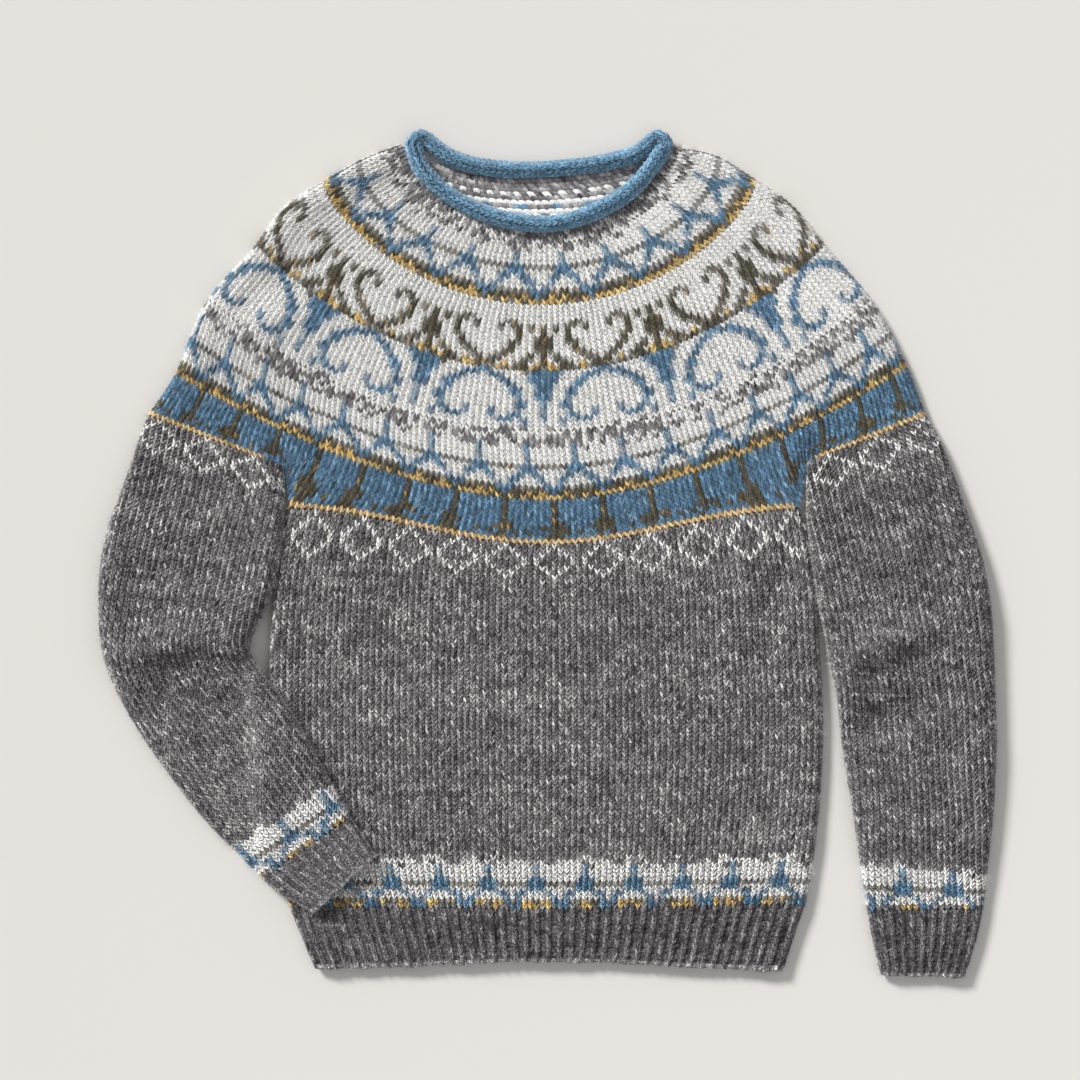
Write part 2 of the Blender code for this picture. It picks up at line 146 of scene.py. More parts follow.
SLEEVE_STRAIGHT = np.array([
    (325.0,  119.5, 224.0,   80.0, 11.0, 0.0),
    (338.0,   95.0, 223.6,   54.0, 13.0, 0.0),
    (350.0,   64.0, 224.4,   30.0, 15.0, 0.0),
    (362.0,   30.0, 226.4,    6.0, 16.5, 0.0),
    (373.0,   -4.0, 230.0,  -22.0, 17.0, 0.0),
    (380.0,  -43.0, 234.2,  -46.0, 17.0, 0.0),
    (382.0,  -70.0, 239.5,  -69.0, 17.0, 0.0),
    (383.0,  -95.0, 242.5,  -92.0, 17.0, 0.0),
    (384.0, -120.0, 249.0, -116.0, 16.5, 0.0),
    (385.0, -155.0, 252.5, -146.0, 16.0, 0.0),
    (384.0, -192.0, 257.0, -181.0, 15.0, 0.0),
    (382.0, -224.0, 263.0, -215.0, 14.0, 0.0),
    (378.0, -264.0, 268.5, -254.0, 13.0, 0.0),
    (374.0, -303.0, 276.0, -304.0, 10.5, 0.0),
])
CUFF_STRAIGHT = np.array([
    (374.0, -303.0, 276.0, -304.0, 10.5, 0.0),
    (368.0, -331.0, 281.0, -331.0, 10.0, 0.0),
    (358.0, -361.0, 288.0, -359.5, 10.0, 0.0),
])

# Creases, given one by one: piece, height (mm, + is a ridge), half-width, points of its line
CREASES = [
    # straight sleeve: the lit fold at the elbow, and the hollow under it
    ("sleeve_straight",  7.8, 13.0, [(240, -100), (270, -87), (300, -74), (330, -60)]),
    ("sleeve_straight",  2.4,  8.0, [(238, -118), (250, -113), (266, -104)]),
    ("sleeve_straight", -7.0, 16.0, [(254, -150), (282, -144), (312, -130), (334, -118)]),
    ("sleeve_straight", -2.5, 15.0, [(236, 40), (262, 22), (292, 16)]),
    ("sleeve_straight",  2.5, 16.0, [(250, 60), (282, 48), (318, 50)]),
    ("sleeve_straight", -2.2, 12.0, [(256, -150), (282, -160), (304, -182)]),
    ("sleeve_straight",  1.8, 14.0, [(268, -205), (300, -196), (340, -206)]),
    ("sleeve_straight", -1.6, 12.0, [(376, -140), (348, -170), (330, -210)]),
    ("sleeve_straight",  2.2, 15.0, [(372, -30), (352, -70), (350, -120)]),
    # folded sleeve: ridge into the elbow, deep hollow below it, small pleat inside the elbow
    ("sleeve_folded",  9.2, 14.0, [(-374, -86), (-340, -79), (-300, -74), (-262, -76)]),
    ("sleeve_folded", -8.8, 18.0, [(-352, -132), (-318, -130), (-286, -132), (-262, -140)]),
    ("sleeve_folded",  3.5,  9.0, [(-286, -82), (-268, -78), (-256, -76)]),
    ("sleeve_folded", -3.0, 14.0, [(-352, -20), (-322, -14), (-286, -22), (-262, -36)]),
    ("sleeve_folded",  2.5, 15.0, [(-340, 30), (-300, 22), (-262, 20)]),
    ("sleeve_folded", -2.2, 12.0, [(-346, 78), (-310, 56), (-270, 48)]),
    ("sleeve_folded",  3.0, 16.0, [(-336, -140), (-300, -126), (-262, -112)]),
    ("sleeve_folded", -2.0, 13.0, [(-312, -186), (-280, -166), (-240, -146)]),
    ("sleeve_folded",  1.8, 13.0, [(-280, -214), (-250, -196), (-222, -176)]),
    # body: soft drag lines from the underarms, and slow waves
    ("body", -4.4, 15.0, [(-222, 28), (-210, -10), (-198, -60), (-196, -110)]),
    ("body",  2.2, 18.0, [(-200, 20), (-180, -24), (-150, -70)]),
    ("body", -2.6, 15.0, [(218, 28), (204, -14), (188, -64), (182, -112)]),
    ("body",  2.0, 18.0, [(196, 16), (172, -30), (150, -80)]),
    ("body",  1.6, 24.0, [(-120, -150), (-60, -168), (20, -160)]),
    ("body", -1.5, 22.0, [(-90, -200), (-10, -214), (70, -206)]),
    ("body",  1.5, 22.0, [(60, -110), (120, -132), (176, -120)]),
    ("body", -1.4, 20.0, [(90, -170), (150, -190), (206, -180)]),
    ("body",  1.3, 16.0, [(-60, -260), (20, -268), (110, -258)]),
    ("body", -1.2, 18.0, [(-210, -150), (-170, -190), (-160, -240)]),
    # yoke: the armhole hollows and a few slow folds over the shoulders
    ("yoke", -4.5,  8.0, [(-222, 50), (-226, 76), (-232, 96)]),
    ("yoke", -4.5,  8.0, [(219, 50), (226, 80), (233, 100)]),
    ("yoke", -2.0, 16.0, [(-214, 60), (-196, 84), (-170, 96)]),
    ("yoke", -2.0, 16.0, [(210, 60), (190, 84), (166, 98)]),
    ("yoke",  2.0, 22.0, [(-290, 170), (-250, 190), (-210, 220)]),
    ("yoke",  2.0, 22.0, [(282, 170), (240, 192), (200, 222)]),
    ("yoke", -1.4, 20.0, [(-240, 230), (-200, 240), (-160, 270)]),
    ("yoke", -1.4, 20.0, [(226, 230), (190, 240), (150, 272)]),
    ("yoke",  1.2, 20.0, [(-80, 80), (0, 70), (80, 84)]),
]


# ------------------------------------------------------------------ small maths
def smooth(t):
    t = np.clip(t, 0.0, 1.0)
    return t * t * (3.0 - 2.0 * t)


def refine(rows, cuts):
    """The smooth curve through the table's rows."""
    rows = np.asarray(rows, float)
    out = []
    last = len(rows) - 1
    for i in range(last):
        a, b, c, d = rows[max(0, i - 1)], rows[i], rows[i + 1], rows[min(last, i + 2)]
        t = (np.arange(cuts) / cuts)[:, None]
        out.append(0.5 * (2 * b + (c - a) * t + (2 * a - 5 * b + 4 * c - d) * t * t
                          + (3 * b - a - 3 * c + d) * t ** 3))
    out.append(rows[last:])
    return np.concatenate(out)


def along(points):
    """Running length along a line of points."""
    return np.concatenate([[0.0], np.cumsum(np.linalg.norm(np.diff(points, axis=0), axis=1))])


def at(points, run, d):
    """Points at distances d along a plan line; past its ends it goes straight on."""
    out = np.stack([np.interp(d, run, points[:, k]) for k in range(points.shape[1])], -1)
    for sel, a, b, base in ((d < 0, points[1], points[0], 0.0), (d > run[-1], points[-2], points[-1], run[-1])):
        if sel.any():
            way = (b - a) / max(np.linalg.norm(b - a), 1e-9)
            out[sel] = b + way * np.abs(d[sel] - base)[:, None]
    return out


def noise2(u, v, seed, size_u, size_v):
    """Smooth random field in [-1, 1] over a plane, with its own grain in u and v."""
    rng = np.random.default_rng(seed)
    table = rng.uniform(-1, 1, (256, 256))
    x, y = np.asarray(u) / size_u, np.asarray(v) / size_v
    xi, yi = np.floor(x).astype(int), np.floor(y).astype(int)
    fx, fy = x - xi, y - yi
    fx, fy = fx * fx * (3 - 2 * fx), fy * fy * (3 - 2 * fy)
    g = lambda a, b: table[a % 256, b % 256]
    return ((g(xi, yi) * (1 - fx) + g(xi + 1, yi) * fx) * (1 - fy)
            + (g(xi, yi + 1) * (1 - fx) + g(xi + 1, yi + 1) * fx) * fy)


def crease_height(piece, x, y):
    """Sum of the named piece's creases at plan points."""
    total = np.zeros_like(x)
    for name, height, half, line in CREASES:
        if name != piece:
            continue
        pts = refine(np.array(line, float), 5)
        run = along(pts)
        best = np.full(x.shape, 1e9)
        share = np.zeros_like(x)
        for k in range(len(pts) - 1):
            a, b = pts[k], pts[k + 1]
            d = b - a
            t = np.clip(((x - a[0]) * d[0] + (y - a[1]) * d[1]) / (d @ d), 0, 1)
            dist = np.hypot(x - a[0] - t * d[0], y - a[1] - t * d[1])
            near = dist < best
            best = np.where(near, dist, best)
            share = np.where(near, (run[k] + t * (run[k + 1] - run[k])) / run[-1], share)
        taper = 0.35 + 0.65 * np.sin(np.pi * np.clip(share, 0, 1)) ** 0.8
        total += 1.3 * height * taper * np.exp(-(best / half) ** 2)
    return total


def body_edge(y):
    side = np.concatenate([BODY[:, [1, 0]], HEM[1:, [1, 0]]])[::-1]
    return np.interp(y, side[:, 0], side[:, 1])


def lift_of(x, y, on):
    """Height of the folded forearm's underside: on the floor, then up over the body's edge."""
    return REST * on * smooth((x - (body_edge(y) - RAMP_FAR)) / (RAMP_FAR - RAMP_NEAR))


# ------------------------------------------------------------------ base forms
class Form:
    """A base surface: points over (share f, row v), sampled smoothly.

    f runs -1..1 from fold to fold over the top; past 1 it turns round the fold.
    """

    def __init__(self, name, lines, thick, rows, f_lo=-1.25, f_hi=1.25, nu=560, on=None, under=False,
                 bias=0.0, squeeze=0.0, puff=1.0):
        self.f_lo, self.f_hi, self.v_hi = f_lo, f_hi, rows
        f = np.linspace(f_lo, f_hi, nu)
        nv = len(lines)
        self.grid = np.zeros((nv, nu, 3))
        self.arc = np.zeros(nv)
        for i, (pts, mid) in enumerate(lines):
            run = along(pts)
            centre = run[mid]
            r = thick[i] / 2.0
            for sign in (-1.0, 1.0):
                sel = (f * sign >= 0) if sign > 0 else (f < 0)
                half = centre if sign < 0 else run[-1] - centre
                arc_half = half - r + math.pi * r / 2.0
                self.arc[i] += arc_half / 2.0
                g = np.abs(f[sel])
                g = np.where(g < 1, g + bias * g * (1 - g * g), g)
                d = g * arc_half
                flat_part = half - r
                phi = np.clip((d - flat_part) / r, 0.0, math.pi)
                extra = np.maximum(0.0, (d - flat_part) - math.pi * r)
                plan = np.where(d <= flat_part, d, flat_part + r * np.sin(phi)) - extra
                z = np.where(d <= flat_part, 2 * r, r + r * np.cos(phi))
                xy = at(pts, run, centre + sign * plan)
                x, y = xy[:, 0], xy[:, 1]
                if under:
                    z = 2 * r - z
                else:
                    top = smooth((z - r * 0.9) / r)
                    edge = np.clip((half - plan) / 26.0, 0, 1)
                    roll = puff * (1.5 * np.exp(-((half - plan - 15.0) / 11.0) ** 2) - 0.9 * edge)
                    wave = 0.7 * noise2(x, y, 5, 55.0, 48.0) + 0.35 * noise2(x, y, 6, 24.0, 22.0)
                    crease = crease_height(name, x, y)
                    # a hollow never goes through the layer below
                    rise = roll + wave + crease
                    floor = -(2 * r) + 7.2
                    z = z + top * np.maximum(rise, floor)
                if on is not None:
                    z = z + lift_of(x, y, on[i])
                self.grid[i, sel, 0], self.grid[i, sel, 1], self.grid[i, sel, 2] = x, y, z
        self.finish()

    def arcs(self, rows):
        """Half the girth over the top at each row's middle."""
        return np.interp(np.arange(rows) + 0.5, np.linspace(0, self.v_hi, len(self.arc)), self.arc)

    def finish(self):
        du = np.gradient(self.grid, axis=1)
        dv = np.gradient(self.grid, axis=0)
        n = np.cross(du, dv)
        n /= np.maximum(np.linalg.norm(n, axis=2, keepdims=True), 1e-9)
        mid = n[n.shape[0] // 2, n.shape[1] // 2]
        if mid[2] < 0:
            n = -n
        self.normal = n

    def sample(self, f, v):
        nv, nu = self.grid.shape[:2]
        a = np.clip((f - self.f_lo) / (self.f_hi - self.f_lo) * (nu - 1), 0, nu - 1.001)
        b = np.clip(v / self.v_hi * (nv - 1), 0, nv - 1.001)
        ai, bi = a.astype(int), b.astype(int)
        fa, fb = (a - ai)[..., None], (b - bi)[..., None]
        out = []
        for g in (self.grid, self.normal):
            out.append((g[bi, ai] * (1 - fa) + g[bi, ai + 1] * fa) * (1 - fb)
                       + (g[bi + 1, ai] * (1 - fa) + g[bi + 1, ai + 1] * fa) * fb)
        # past the last or first row the surface goes straight on
        over = (np.maximum(0, v - self.v_hi) - np.maximum(0, -v))[..., None]
        if np.any(over != 0):
            step = self.grid[1:] - self.grid[:-1]
            way = step[np.clip(bi, 0, nv - 2), ai]
            scale = (nv - 1) / self.v_hi
            out[0] = out[0] + way * over * scale
        return out[0], out[1]


def bow_line(lx, ly, rx, ry, my):
    """Plan line of a body round, sagging softly between its folds."""
    v = np.linspace(0, 1, 25)
    ease = (1 - np.cos(np.pi * v)) / 2
    left = np.stack([-1 + (lx + 1) * v, my + (ly - my) * ease], -1)[::-1]
    right = np.stack([-1 + (rx + 1) * v, my + (ry - my) * ease], -1)
    return np.concatenate([left[:-1], right]), 24


def table_rows(table, centre, count):
    """Rows of a table at even steps along its middle line."""
    fine = refine(table, 12)
    run = along(centre(fine))
    want = np.linspace(0, run[-1], count)
    return np.stack([np.interp(want, run, fine[:, k]) for k in range(fine.shape[1])], -1), run[-1]


def body_lines(table, count):
    rows, total = table_rows(table, lambda t: t[:, 4:5], count)
    return [bow_line(*r[:5]) for r in rows], rows[:, 5], total


def sleeve_lines(table, count):
    rows, total = table_rows(table, lambda t: (t[:, 0:2] + t[:, 2:4]) / 2, count)
    lines = []
    for r in rows:
        a, b = (r[0:2], r[2:4]) if r[0] < r[2] else (r[2:4], r[0:2])
        lines.append((np.linspace(a, b, 41), 20))
    return lines, rows[:, 4], rows[:, 5], total


def arch(row, back=False):
    _, lx, ly, mx, my, rx, ry, by, power, ellipse = row
    if back:
        my = by
    v = np.sin(np.linspace(0, 1, 33) * math.pi / 2)
    g = (1 - ellipse) * v ** power + ellipse * (1 - np.sqrt(np.maximum(0, 1 - v * v)))
    left = np.stack([mx + (lx - mx) * v, my + (ly - my) * g], -1)[::-1]
    right = np.stack([mx + (rx - mx) * v, my + (ry - my) * g], -1)
    return np.concatenate([left[:-1], right]), 32


YSTEPS = np.linspace(0, 1, 61)


def halves(points, mid):
    """Even shares of each half of a line, from left fold to right fold."""
    left, right = points[:mid + 1][::-1], points[mid:]
    a = at(left, along(left), YSTEPS * along(left)[-1])
    b = at(right, along(right), YSTEPS * along(right)[-1])
    return np.concatenate([a[::-1][:-1], b])


def lowest_line():
    out = []
    for side in ("left", "right"):
        mid, fold = np.array(LOWEST["mid"]), np.array(LOWEST[side])
        arm, body = np.array(LOWEST["arm_" + side]), np.array(LOWEST["body_" + side])
        pts = []
        for f in YSTEPS:
            if f <= SHARE_BODY:
                v = f / SHARE_BODY
                pts.append((mid[0] + (body[0] - mid[0]) * v,
                            mid[1] + (body[1] - mid[1]) * (1 - math.cos(math.pi * v)) / 2))
            elif f <= SHARE_ARM:
                pts.append(body + (arm - body) * (f - SHARE_BODY) / (SHARE_ARM - SHARE_BODY))
            else:
                pts.append(arm + (fold - arm) * (f - SHARE_ARM) / (1 - SHARE_ARM))
        out.append(np.array(pts))
    return np.concatenate([out[0][::-1][:-1], out[1]])


def yoke_lines(count, back=False):
    known = [0.0] + [r[0] for r in YOKE] + [YOKE_TOP]
    lines = [lowest_line()] + [halves(*arch(r, back)) for r in YOKE]
    if back:
        edge = np.concatenate([[NECK_SIDE_L], refine(BACK_NECK, 2), [NECK_SIDE_R]])
    else:
        pts = refine(NECK[:NECK_FRONT, :2], 4)
        way = np.gradient(pts, axis=0)
        way /= np.linalg.norm(way, axis=1, keepdims=True)
        off = pts + np.stack([way[:, 1], -way[:, 0]], -1) * (6.9 - 4.2)
        edge = np.concatenate([[NECK_SIDE_L], off[1:-1], [NECK_SIDE_R]])
    lines.append(halves(edge, int(np.argmin(edge[:, 1]))))
    lines = np.array(lines)
    known = np.array(known)
    out = []
    for r in np.linspace(0, YOKE_TOP, count):
        i = min(int(np.searchsorted(known, r, side="right")) - 1, len(known) - 2)
        h = known[i + 1] - known[i]
        t = (r - known[i]) / h
        b, c = lines[i], lines[i + 1]
        mb = (lines[i + 1] - lines[i - 1]) / (known[i + 1] - known[i - 1]) * h if i > 0 else (c - b)
        mc = (lines[i + 2] - lines[i]) / (known[i + 2] - known[i]) * h if i < len(known) - 2 else (c - b)
        if i == 0:
            mb = (c - b)
        p = ((2 * t ** 3 - 3 * t ** 2 + 1) * b + (t ** 3 - 2 * t ** 2 + t) * mb
             + (-2 * t ** 3 + 3 * t ** 2) * c + (t ** 3 - t ** 2) * mc)
        out.append((p, 60))
    return out


# ------------------------------------------------------------------ yarns
def lin(rgb):
    c = np.array(rgb, float) / 255.0
    return np.where(c <= 0.04045, c / 12.92, ((c + 0.055) / 1.055) ** 2.4)


CREAM, BLUE, OLIVE, GOLD, TAN = (lin(c) for c in (
    (246, 245, 241), (92, 127, 155), (88, 83, 68), (206, 174, 112), (232, 198, 146)))
ROLL = lin((124, 168, 199))
H_LIGHT, H_MID, H_DARK = lin((220, 217, 216)), lin((134, 131, 133)), lin((62, 60, 63))
YARN = {"W": CREAM, "B": BLUE, "O": OLIVE, "G": GOLD, "T": TAN, "R": ROLL}


def heather(shape, seed, dark=0.0, vary=1.0):
    """Grey heather, light and dark fibres in short streaks along each round."""
    rng = np.random.default_rng(seed)
    rows, cols = shape
    r, c = np.mgrid[0:rows, 0:cols].astype(float)
    streak = noise2(c, r, seed + 1, 1.6, 0.8) * 0.6 + noise2(c, r, seed + 2, 7.0, 2.5) * 0.3
    leg = rng.normal(0, 0.40, (rows, cols, 2))
    # dark lowers a whole piece's grey: painted shade, given per piece
    t = np.clip(0.47 + 0.26 * streak[..., None] + 0.38 * vary * leg - dark, 0, 1)[..., None]
    low = H_DARK * (1 - 2 * np.minimum(t, 0.5)) + H_MID * 2 * np.minimum(t, 0.5)
    return np.where(t < 0.5, low, H_MID * (2 - 2 * t) + H_LIGHT * (2 * t - 1))


def paint(chart, seed, dark=0.0):
    """Chart of letters (rows of equal length lists) to a colour for each leg."""
    rows, cols = len(chart), len(chart[0])
    out = heather((rows, cols), seed, dark)
    rng = np.random.default_rng(seed + 9)
    code = np.array(chart)
    for key, base in YARN.items():
        sel = code == key
        n = int(sel.sum())
        if not n:
            continue
        spread = {"W": 0.06, "B": 0.28, "O": 0.26, "G": 0.24, "T": 0.14, "R": 0.16}[key]
        k = np.exp(rng.normal(0, spread, (n, 2, 1)))
        col = np.clip(base * k, 0, 0.93)
        if key == "O":      # gold flecks spun into the dark yarn
            fleck = rng.random((n, 2, 1)) < 0.03
            col = np.where(fleck, GOLD * 0.6, col)
        if key == "B":
            fleck = rng.random((n, 2, 1)) < 0.06
            col = np.where(fleck, lin((134, 168, 192)), col)
        out[sel] = col
    for step, leg, share in ((-1, 0, 0.24), (1, 1, 0.24)):
        near = np.roll(code, -step, axis=1)
        edge = ((code == "W") & np.isin(near, ("B", "O", "H"))) | ((code == "B") & (near == "W"))
        other = np.roll(out, -step, axis=1)[..., 1 - leg, :]
        k = share * rng.random((rows, cols, 1)) * np.where(near == "H", 0.6, 1.6)[..., None]
        out[..., leg, :] = np.where(edge[..., None], out[..., leg, :] * (1 - k) + other * k, out[..., leg, :])
    for step in (-1, 1):
        near = np.roll(code, -step, axis=0)
        edge = ((code == "W") & np.isin(near, ("B", "O", "H"))) | ((code == "O") & (near == "W"))
        other = np.roll(out, -step, axis=0)
        k = 0.16 * rng.random((rows, cols, 1, 1)) * np.where(near == "H", 0.6, 1.6)[..., None, None]
        out = np.where(edge[..., None, None], out * (1 - k) + other * k, out)
    return out


def mix(k, r, seed, share, one="W", two="H"):
    """One of two yarns, scattered stitch by stitch."""
    h = math.sin(k * 12.9898 + r * 78.233 + seed * 37.719) * 43758.5453
    return one if (h - math.floor(h)) < share else two


def small_band(k, t, foot=1):
    """The eight-stitch peak band: t counts rows down from the peak's tip; a V's foot is at k = foot."""
    off = (k - foot + 4) % 8 - 4     # -4..3 from the V's foot
    a = abs(abs(off) - 4)            # stitches from the peak: 0..4
    if t <= 2:
        if a == 0:
            return "B"
        return mix(k, t, 3, (0.5, 0.85, 1.0)[t])
    if t == 3:
        return "B" if a == 0 else "W"
    if t == 4:
        return "B" if a == 0 or (a == 1 and k % 2) else "W"
    if t == 5:
        return "B" if a <= 1 else mix(k, t, 21, 0.85, "O", "H")
    if t == 6:
        return "B" if a <= 1 else "W"
    if t == 7:
        return "B" if a in (1, 2) else "W"
    if t == 8:
        return "B" if a == 2 else ("W" if a != 3 else mix(k, t, 22, 0.5, "B", "W"))
    if t == 9:
        return "B" if a == 3 else "W"
    if t == 10:
        return "B" if a >= 3 else mix(k, t, 23, 0.8, "O", "H")
    if t == 11:
        return "B" if a == 4 else ("O" if (k + t) % 2 else mix(k, t, 5, 0.45, "G", "O"))
    return "G" if (k % 2 == 0) else mix(k, t, 8, 0.45, "G", "O")


# Flourishes as cells (row, stitches from the motif's middle); both are mirrored
BLUE_ARCH = {39: (9, 10), 38: (7, 8, 9), 37: (6, 7), 36: (5, 6), 35: (4, 5), 34: (4, 5), 33: (4,), 32: (3, 4),
             31: (3, 4), 30: (4, 8), 29: (4, 5, 8), 28: (5, 6, 7)}
BLUE_SPEAR = {39: (0, 1, 2), 38: (0, 1, 2), 37: (0, 1, 2), 36: (0, 1), 35: (0, 1), 34: (0, 1), 33: (0, 1),
              32: (0,), 31: (0,), 30: (0,), 29: (0,), 28: (0,)}
BLUE_DOT = {28: (3,), 27: (3,)}
DARK_CROWN = {39: (3,), 38: ()}
OLIVE_SCROLL = {1: (8, 9), 2: (7, 8), 3: (6, 7), 4: (5, 6), 5: (5,), 6: (4, 5), 7: (4,), 8: (4,), 9: (4, 7),
                10: (4, 5, 7), 11: (5, 6)}
OLIVE_TREE = {1: (0, 3, 4), 2: (0, 2, 3), 3: (0, 2), 4: (0, 1), 5: (0, 1), 6: (0, 1), 7: (0, 1), 8: (0,),
              9: (0,), 10: (0,)}
OLIVE_DOT = {9: (2,), 10: (2,)}


def yoke_count(r):
    """Stitches across the front at a round (half of those all round)."""
    if r < 10:
        return 140
    if r < 26:
        return 136
    if r < 40:
        return 114
    if r < 56:
        return 102
    if r < 69:
        return 84
    if r < 71:
        return 78
    return 72


def yoke_letter(r, k):
    """Yarn at round r (counted up) and stitch k from the front's middle."""
    share = abs(k + 0.5) / (yoke_count(r) / 2.0)
    if r <= 1 and SHARE_BODY - 0.012 < share < SHARE_ARM - 0.004:
        return "B"                     # no tan line round the underarm
    if r <= 0:
        return mix(k, r, 31, 0.85, "T", "G")
    if r == 1:
        return "O" if (k + 3) % 8 in (3, 4, 5) and mix(k, r, 33, 0.6) == "W" else "B"
    if r <= 9:
        a = abs((k + 3) % 8 - 4)
        tree = {2: (0, 1, 4), 3: (0, 1)}.get(r, (0,))
        if r == 4 and a == 1:
            return mix(k, r, 2, 0.6, "O", "B")
        if r == 2 and a in (1, 2):
            return mix(k, r, 2, 0.5, "O", "B")
        if r == 3 and a == 2:
            return mix(k, r, 2, 0.6, "O", "B")
        return "O" if a in tree else "B"
    if r <= 22:
        return small_band(k, 22 - r)
    if r <= 25:
        return mix(k, r, 4, {23: 0.42, 24: 0.40, 25: 0.62}[r])
    if r < 40:
        if r == 26:
            return mix(k, r, 6, 0.9)
        a = abs((k + 10) % 20 - 10)
        if a in BLUE_SPEAR.get(r, ()) or a in BLUE_ARCH.get(r, ()) or a in BLUE_DOT.get(r, ()):
            return "B"
        if a in DARK_CROWN.get(r, ()):
            return mix(k, r, 1, 0.6, "O", "B")
        return "W"
    if r < 56:
        a = abs((k + 9) % 18 - 9)
        s = r - 40
        if s == 0:
            return "O" if a in (0, 3, 4, 5, 8, 9) else mix(k, r, 41, 0.6, "G", "O")
        if a in OLIVE_SCROLL.get(s, ()) or a in OLIVE_TREE.get(s, ()) or a in OLIVE_DOT.get(s, ()):
            return "O"
        if s == 1 and a in (1, 6):
            return "G"
        return "W"
    if r <= 66:
        return small_band(k, 68 - r, -1)
    return mix(k, r, 7, {67: 0.80, 68: 0.64, 69: 0.50, 70: 0.38, 71: 0.24, 72: 0.08}.get(r, 0.0))


def diamond(k, d):
    """White diamond outlines, eight stitches and eight rows, d rows below the tan line."""
    a = abs((k + 3) % 8 - 4)
    width = (0, 1, 2, 3, 3, 2, 1, 0)
    if 0 <= d < 8 and a == width[d]:
        return "W"
    return "H"


# ------------------------------------------------------------------ stitches
def stitch_shape(kind, phases):
    """Height, row shift and sideways slant of the vertices of one stitch.

    Rows of the tables are phases from the legs' upper end to their foot,
    columns are the four lines across: valley, left leg, middle, right leg.
    """
    q = np.array(phases)[:, None]
    swell = np.sin(np.clip(0.06 + 0.76 * q, 0, 1) * math.pi)
    leg = np.array([0.0, 1.0, 0.22, 1.0])
    if kind == "knit":
        height = leg * (0.26 + 0.89 * swell) - 0.12
        height[:, 0] = -0.34
        height[:, 2] = -0.35 + 0.85 * np.clip(q[:, 0], 0.0, 0.9)
        shift = np.array([-0.46, -0.04, 0.50, -0.04])
        slant = (q - 0.5) * np.array([0.0, 0.24, 0.0, -0.24])
    else:  # purl: a low bump across the stitch
        height = (0.10 + 0.9 * swell) * np.array([0.35, 0.95, 1.0, 0.95])
        shift = np.array([0.12, -0.05, -0.14, -0.05])
        slant = q * 0.0 + np.zeros(4)
    return height, shift, slant


def knit(form, counts, colours, amp=1.25, down=1.0, wrap=1, phases=(-0.08, 0.34, 0.80, 1.18),
         kinds=None, offset=None, v0=0.0, pitch=None, arc=None, bias=None, hollow_shade=0.78):
    """Vertices, quads, corner colours and knit coordinates of rows of stitches on a form.

    counts[r] is the stitches across row r; colours[r] is (stitches, 2, 3).
    kinds(r) gives for each stitch 'k' or 'p'. With a pitch the columns keep
    their width, counted from the middle, and run on unbroken from row to row.
    """
    verts, quads, cols, coords = [], [], [], []
    base = 0
    hk, sk, lk = stitch_shape("knit", phases)
    hp, sp, lp = stitch_shape("purl", phases)
    lines = len(phases)
    for r, count in enumerate(counts):
        w = wrap
        cells = count + 2 * w
        j = np.arange(4 * cells + 1)
        u = j / 4.0 - w
        ph = j % 4
        cell = np.clip(j // 4, 0, cells - 1)
        purl = np.zeros(cells, bool) if kinds is None else kinds(r, np.arange(cells) - w)
        is_p = purl[cell]
        height = np.where(is_p, hp[:, ph], hk[:, ph])
        shift = np.where(is_p, sp[ph], sk[ph])
        slant = np.where(is_p, lp[:, ph], lk[:, ph])
        # painted shade: the yarn's colour is darkened in the hollows between the strands
        painted_shading = 1.0 - hollow_shade * (1.0 - np.clip((height + 0.34) / 1.25, 0.0, 1.0)) ** 1.15
        height = height * amp
        if offset is not None:
            height = height + offset(is_p, ph)[None, :]
            # painted shade and highlight on the rib: purl columns darker, knit columns lighter
            painted_shading = painted_shading * np.where(is_p, 0.46, 1.10)[None, :]
        q = np.array(phases)[:, None]
        qq = q if down > 0 else 1.0 - q
        # yarn is never quite even
        ir = noise2(u + 31.0 * r, u * 0.0, 91, 0.9, 1.0) * 0.07
        v = v0 + r + qq + down * (shift + ir)[None, :]
        x = u[None, :] + slant + (noise2(u + 13.0 * r, u * 0.0, 92, 0.7, 1.0) * 0.05)[None, :]
        if pitch is None:
            f = (x - count / 2.0) / (count / 2.0)
            if bias is not None:
                g = np.clip(f, -1, 1)
                f = f + bias(r) * g * (1 - g * g)
        else:
            f = (x - count / 2.0) * pitch / arc[r]
        f = np.broadcast_to(f, v.shape)
        pos, nrm = form.sample(f, v)
        wob = noise2(u[None, :] * 1.0 + r * 17.0, q + r * 3.1, 77, 0.5, 0.5) * 0.16 * amp
        pos = pos + nrm * (height + wob)[..., None]
        n = len(j)
        verts.append(pos.reshape(-1, 3))
        a = (np.arange(lines - 1)[:, None] * n + np.arange(n - 1)[None, :]).ravel() + base
        quads.append(np.stack([a, a + 1, a + n + 1, a + n], -1))
        col = colours[r]
        idx = np.clip(np.arange(cells) - w, 0, count - 1)
        per = np.repeat(col[idx], 2, axis=1).reshape(cells * 4, 3)
        per = np.broadcast_to(per, (lines - 1, cells * 4, 3)).reshape(-1, 1, 3)
        t = painted_shading.ravel()[quads[-1] - base][..., None]
        cols.append(per * t)
        uu = np.broadcast_to(u, v.shape)
        coords.append(np.stack([uu.ravel(), (q + r + 0 * uu).ravel(), np.broadcast_to(ph, v.shape).ravel() / 4.0], -1))
        base += n * lines
    return [np.concatenate(x) for x in (verts, quads, cols, coords)]


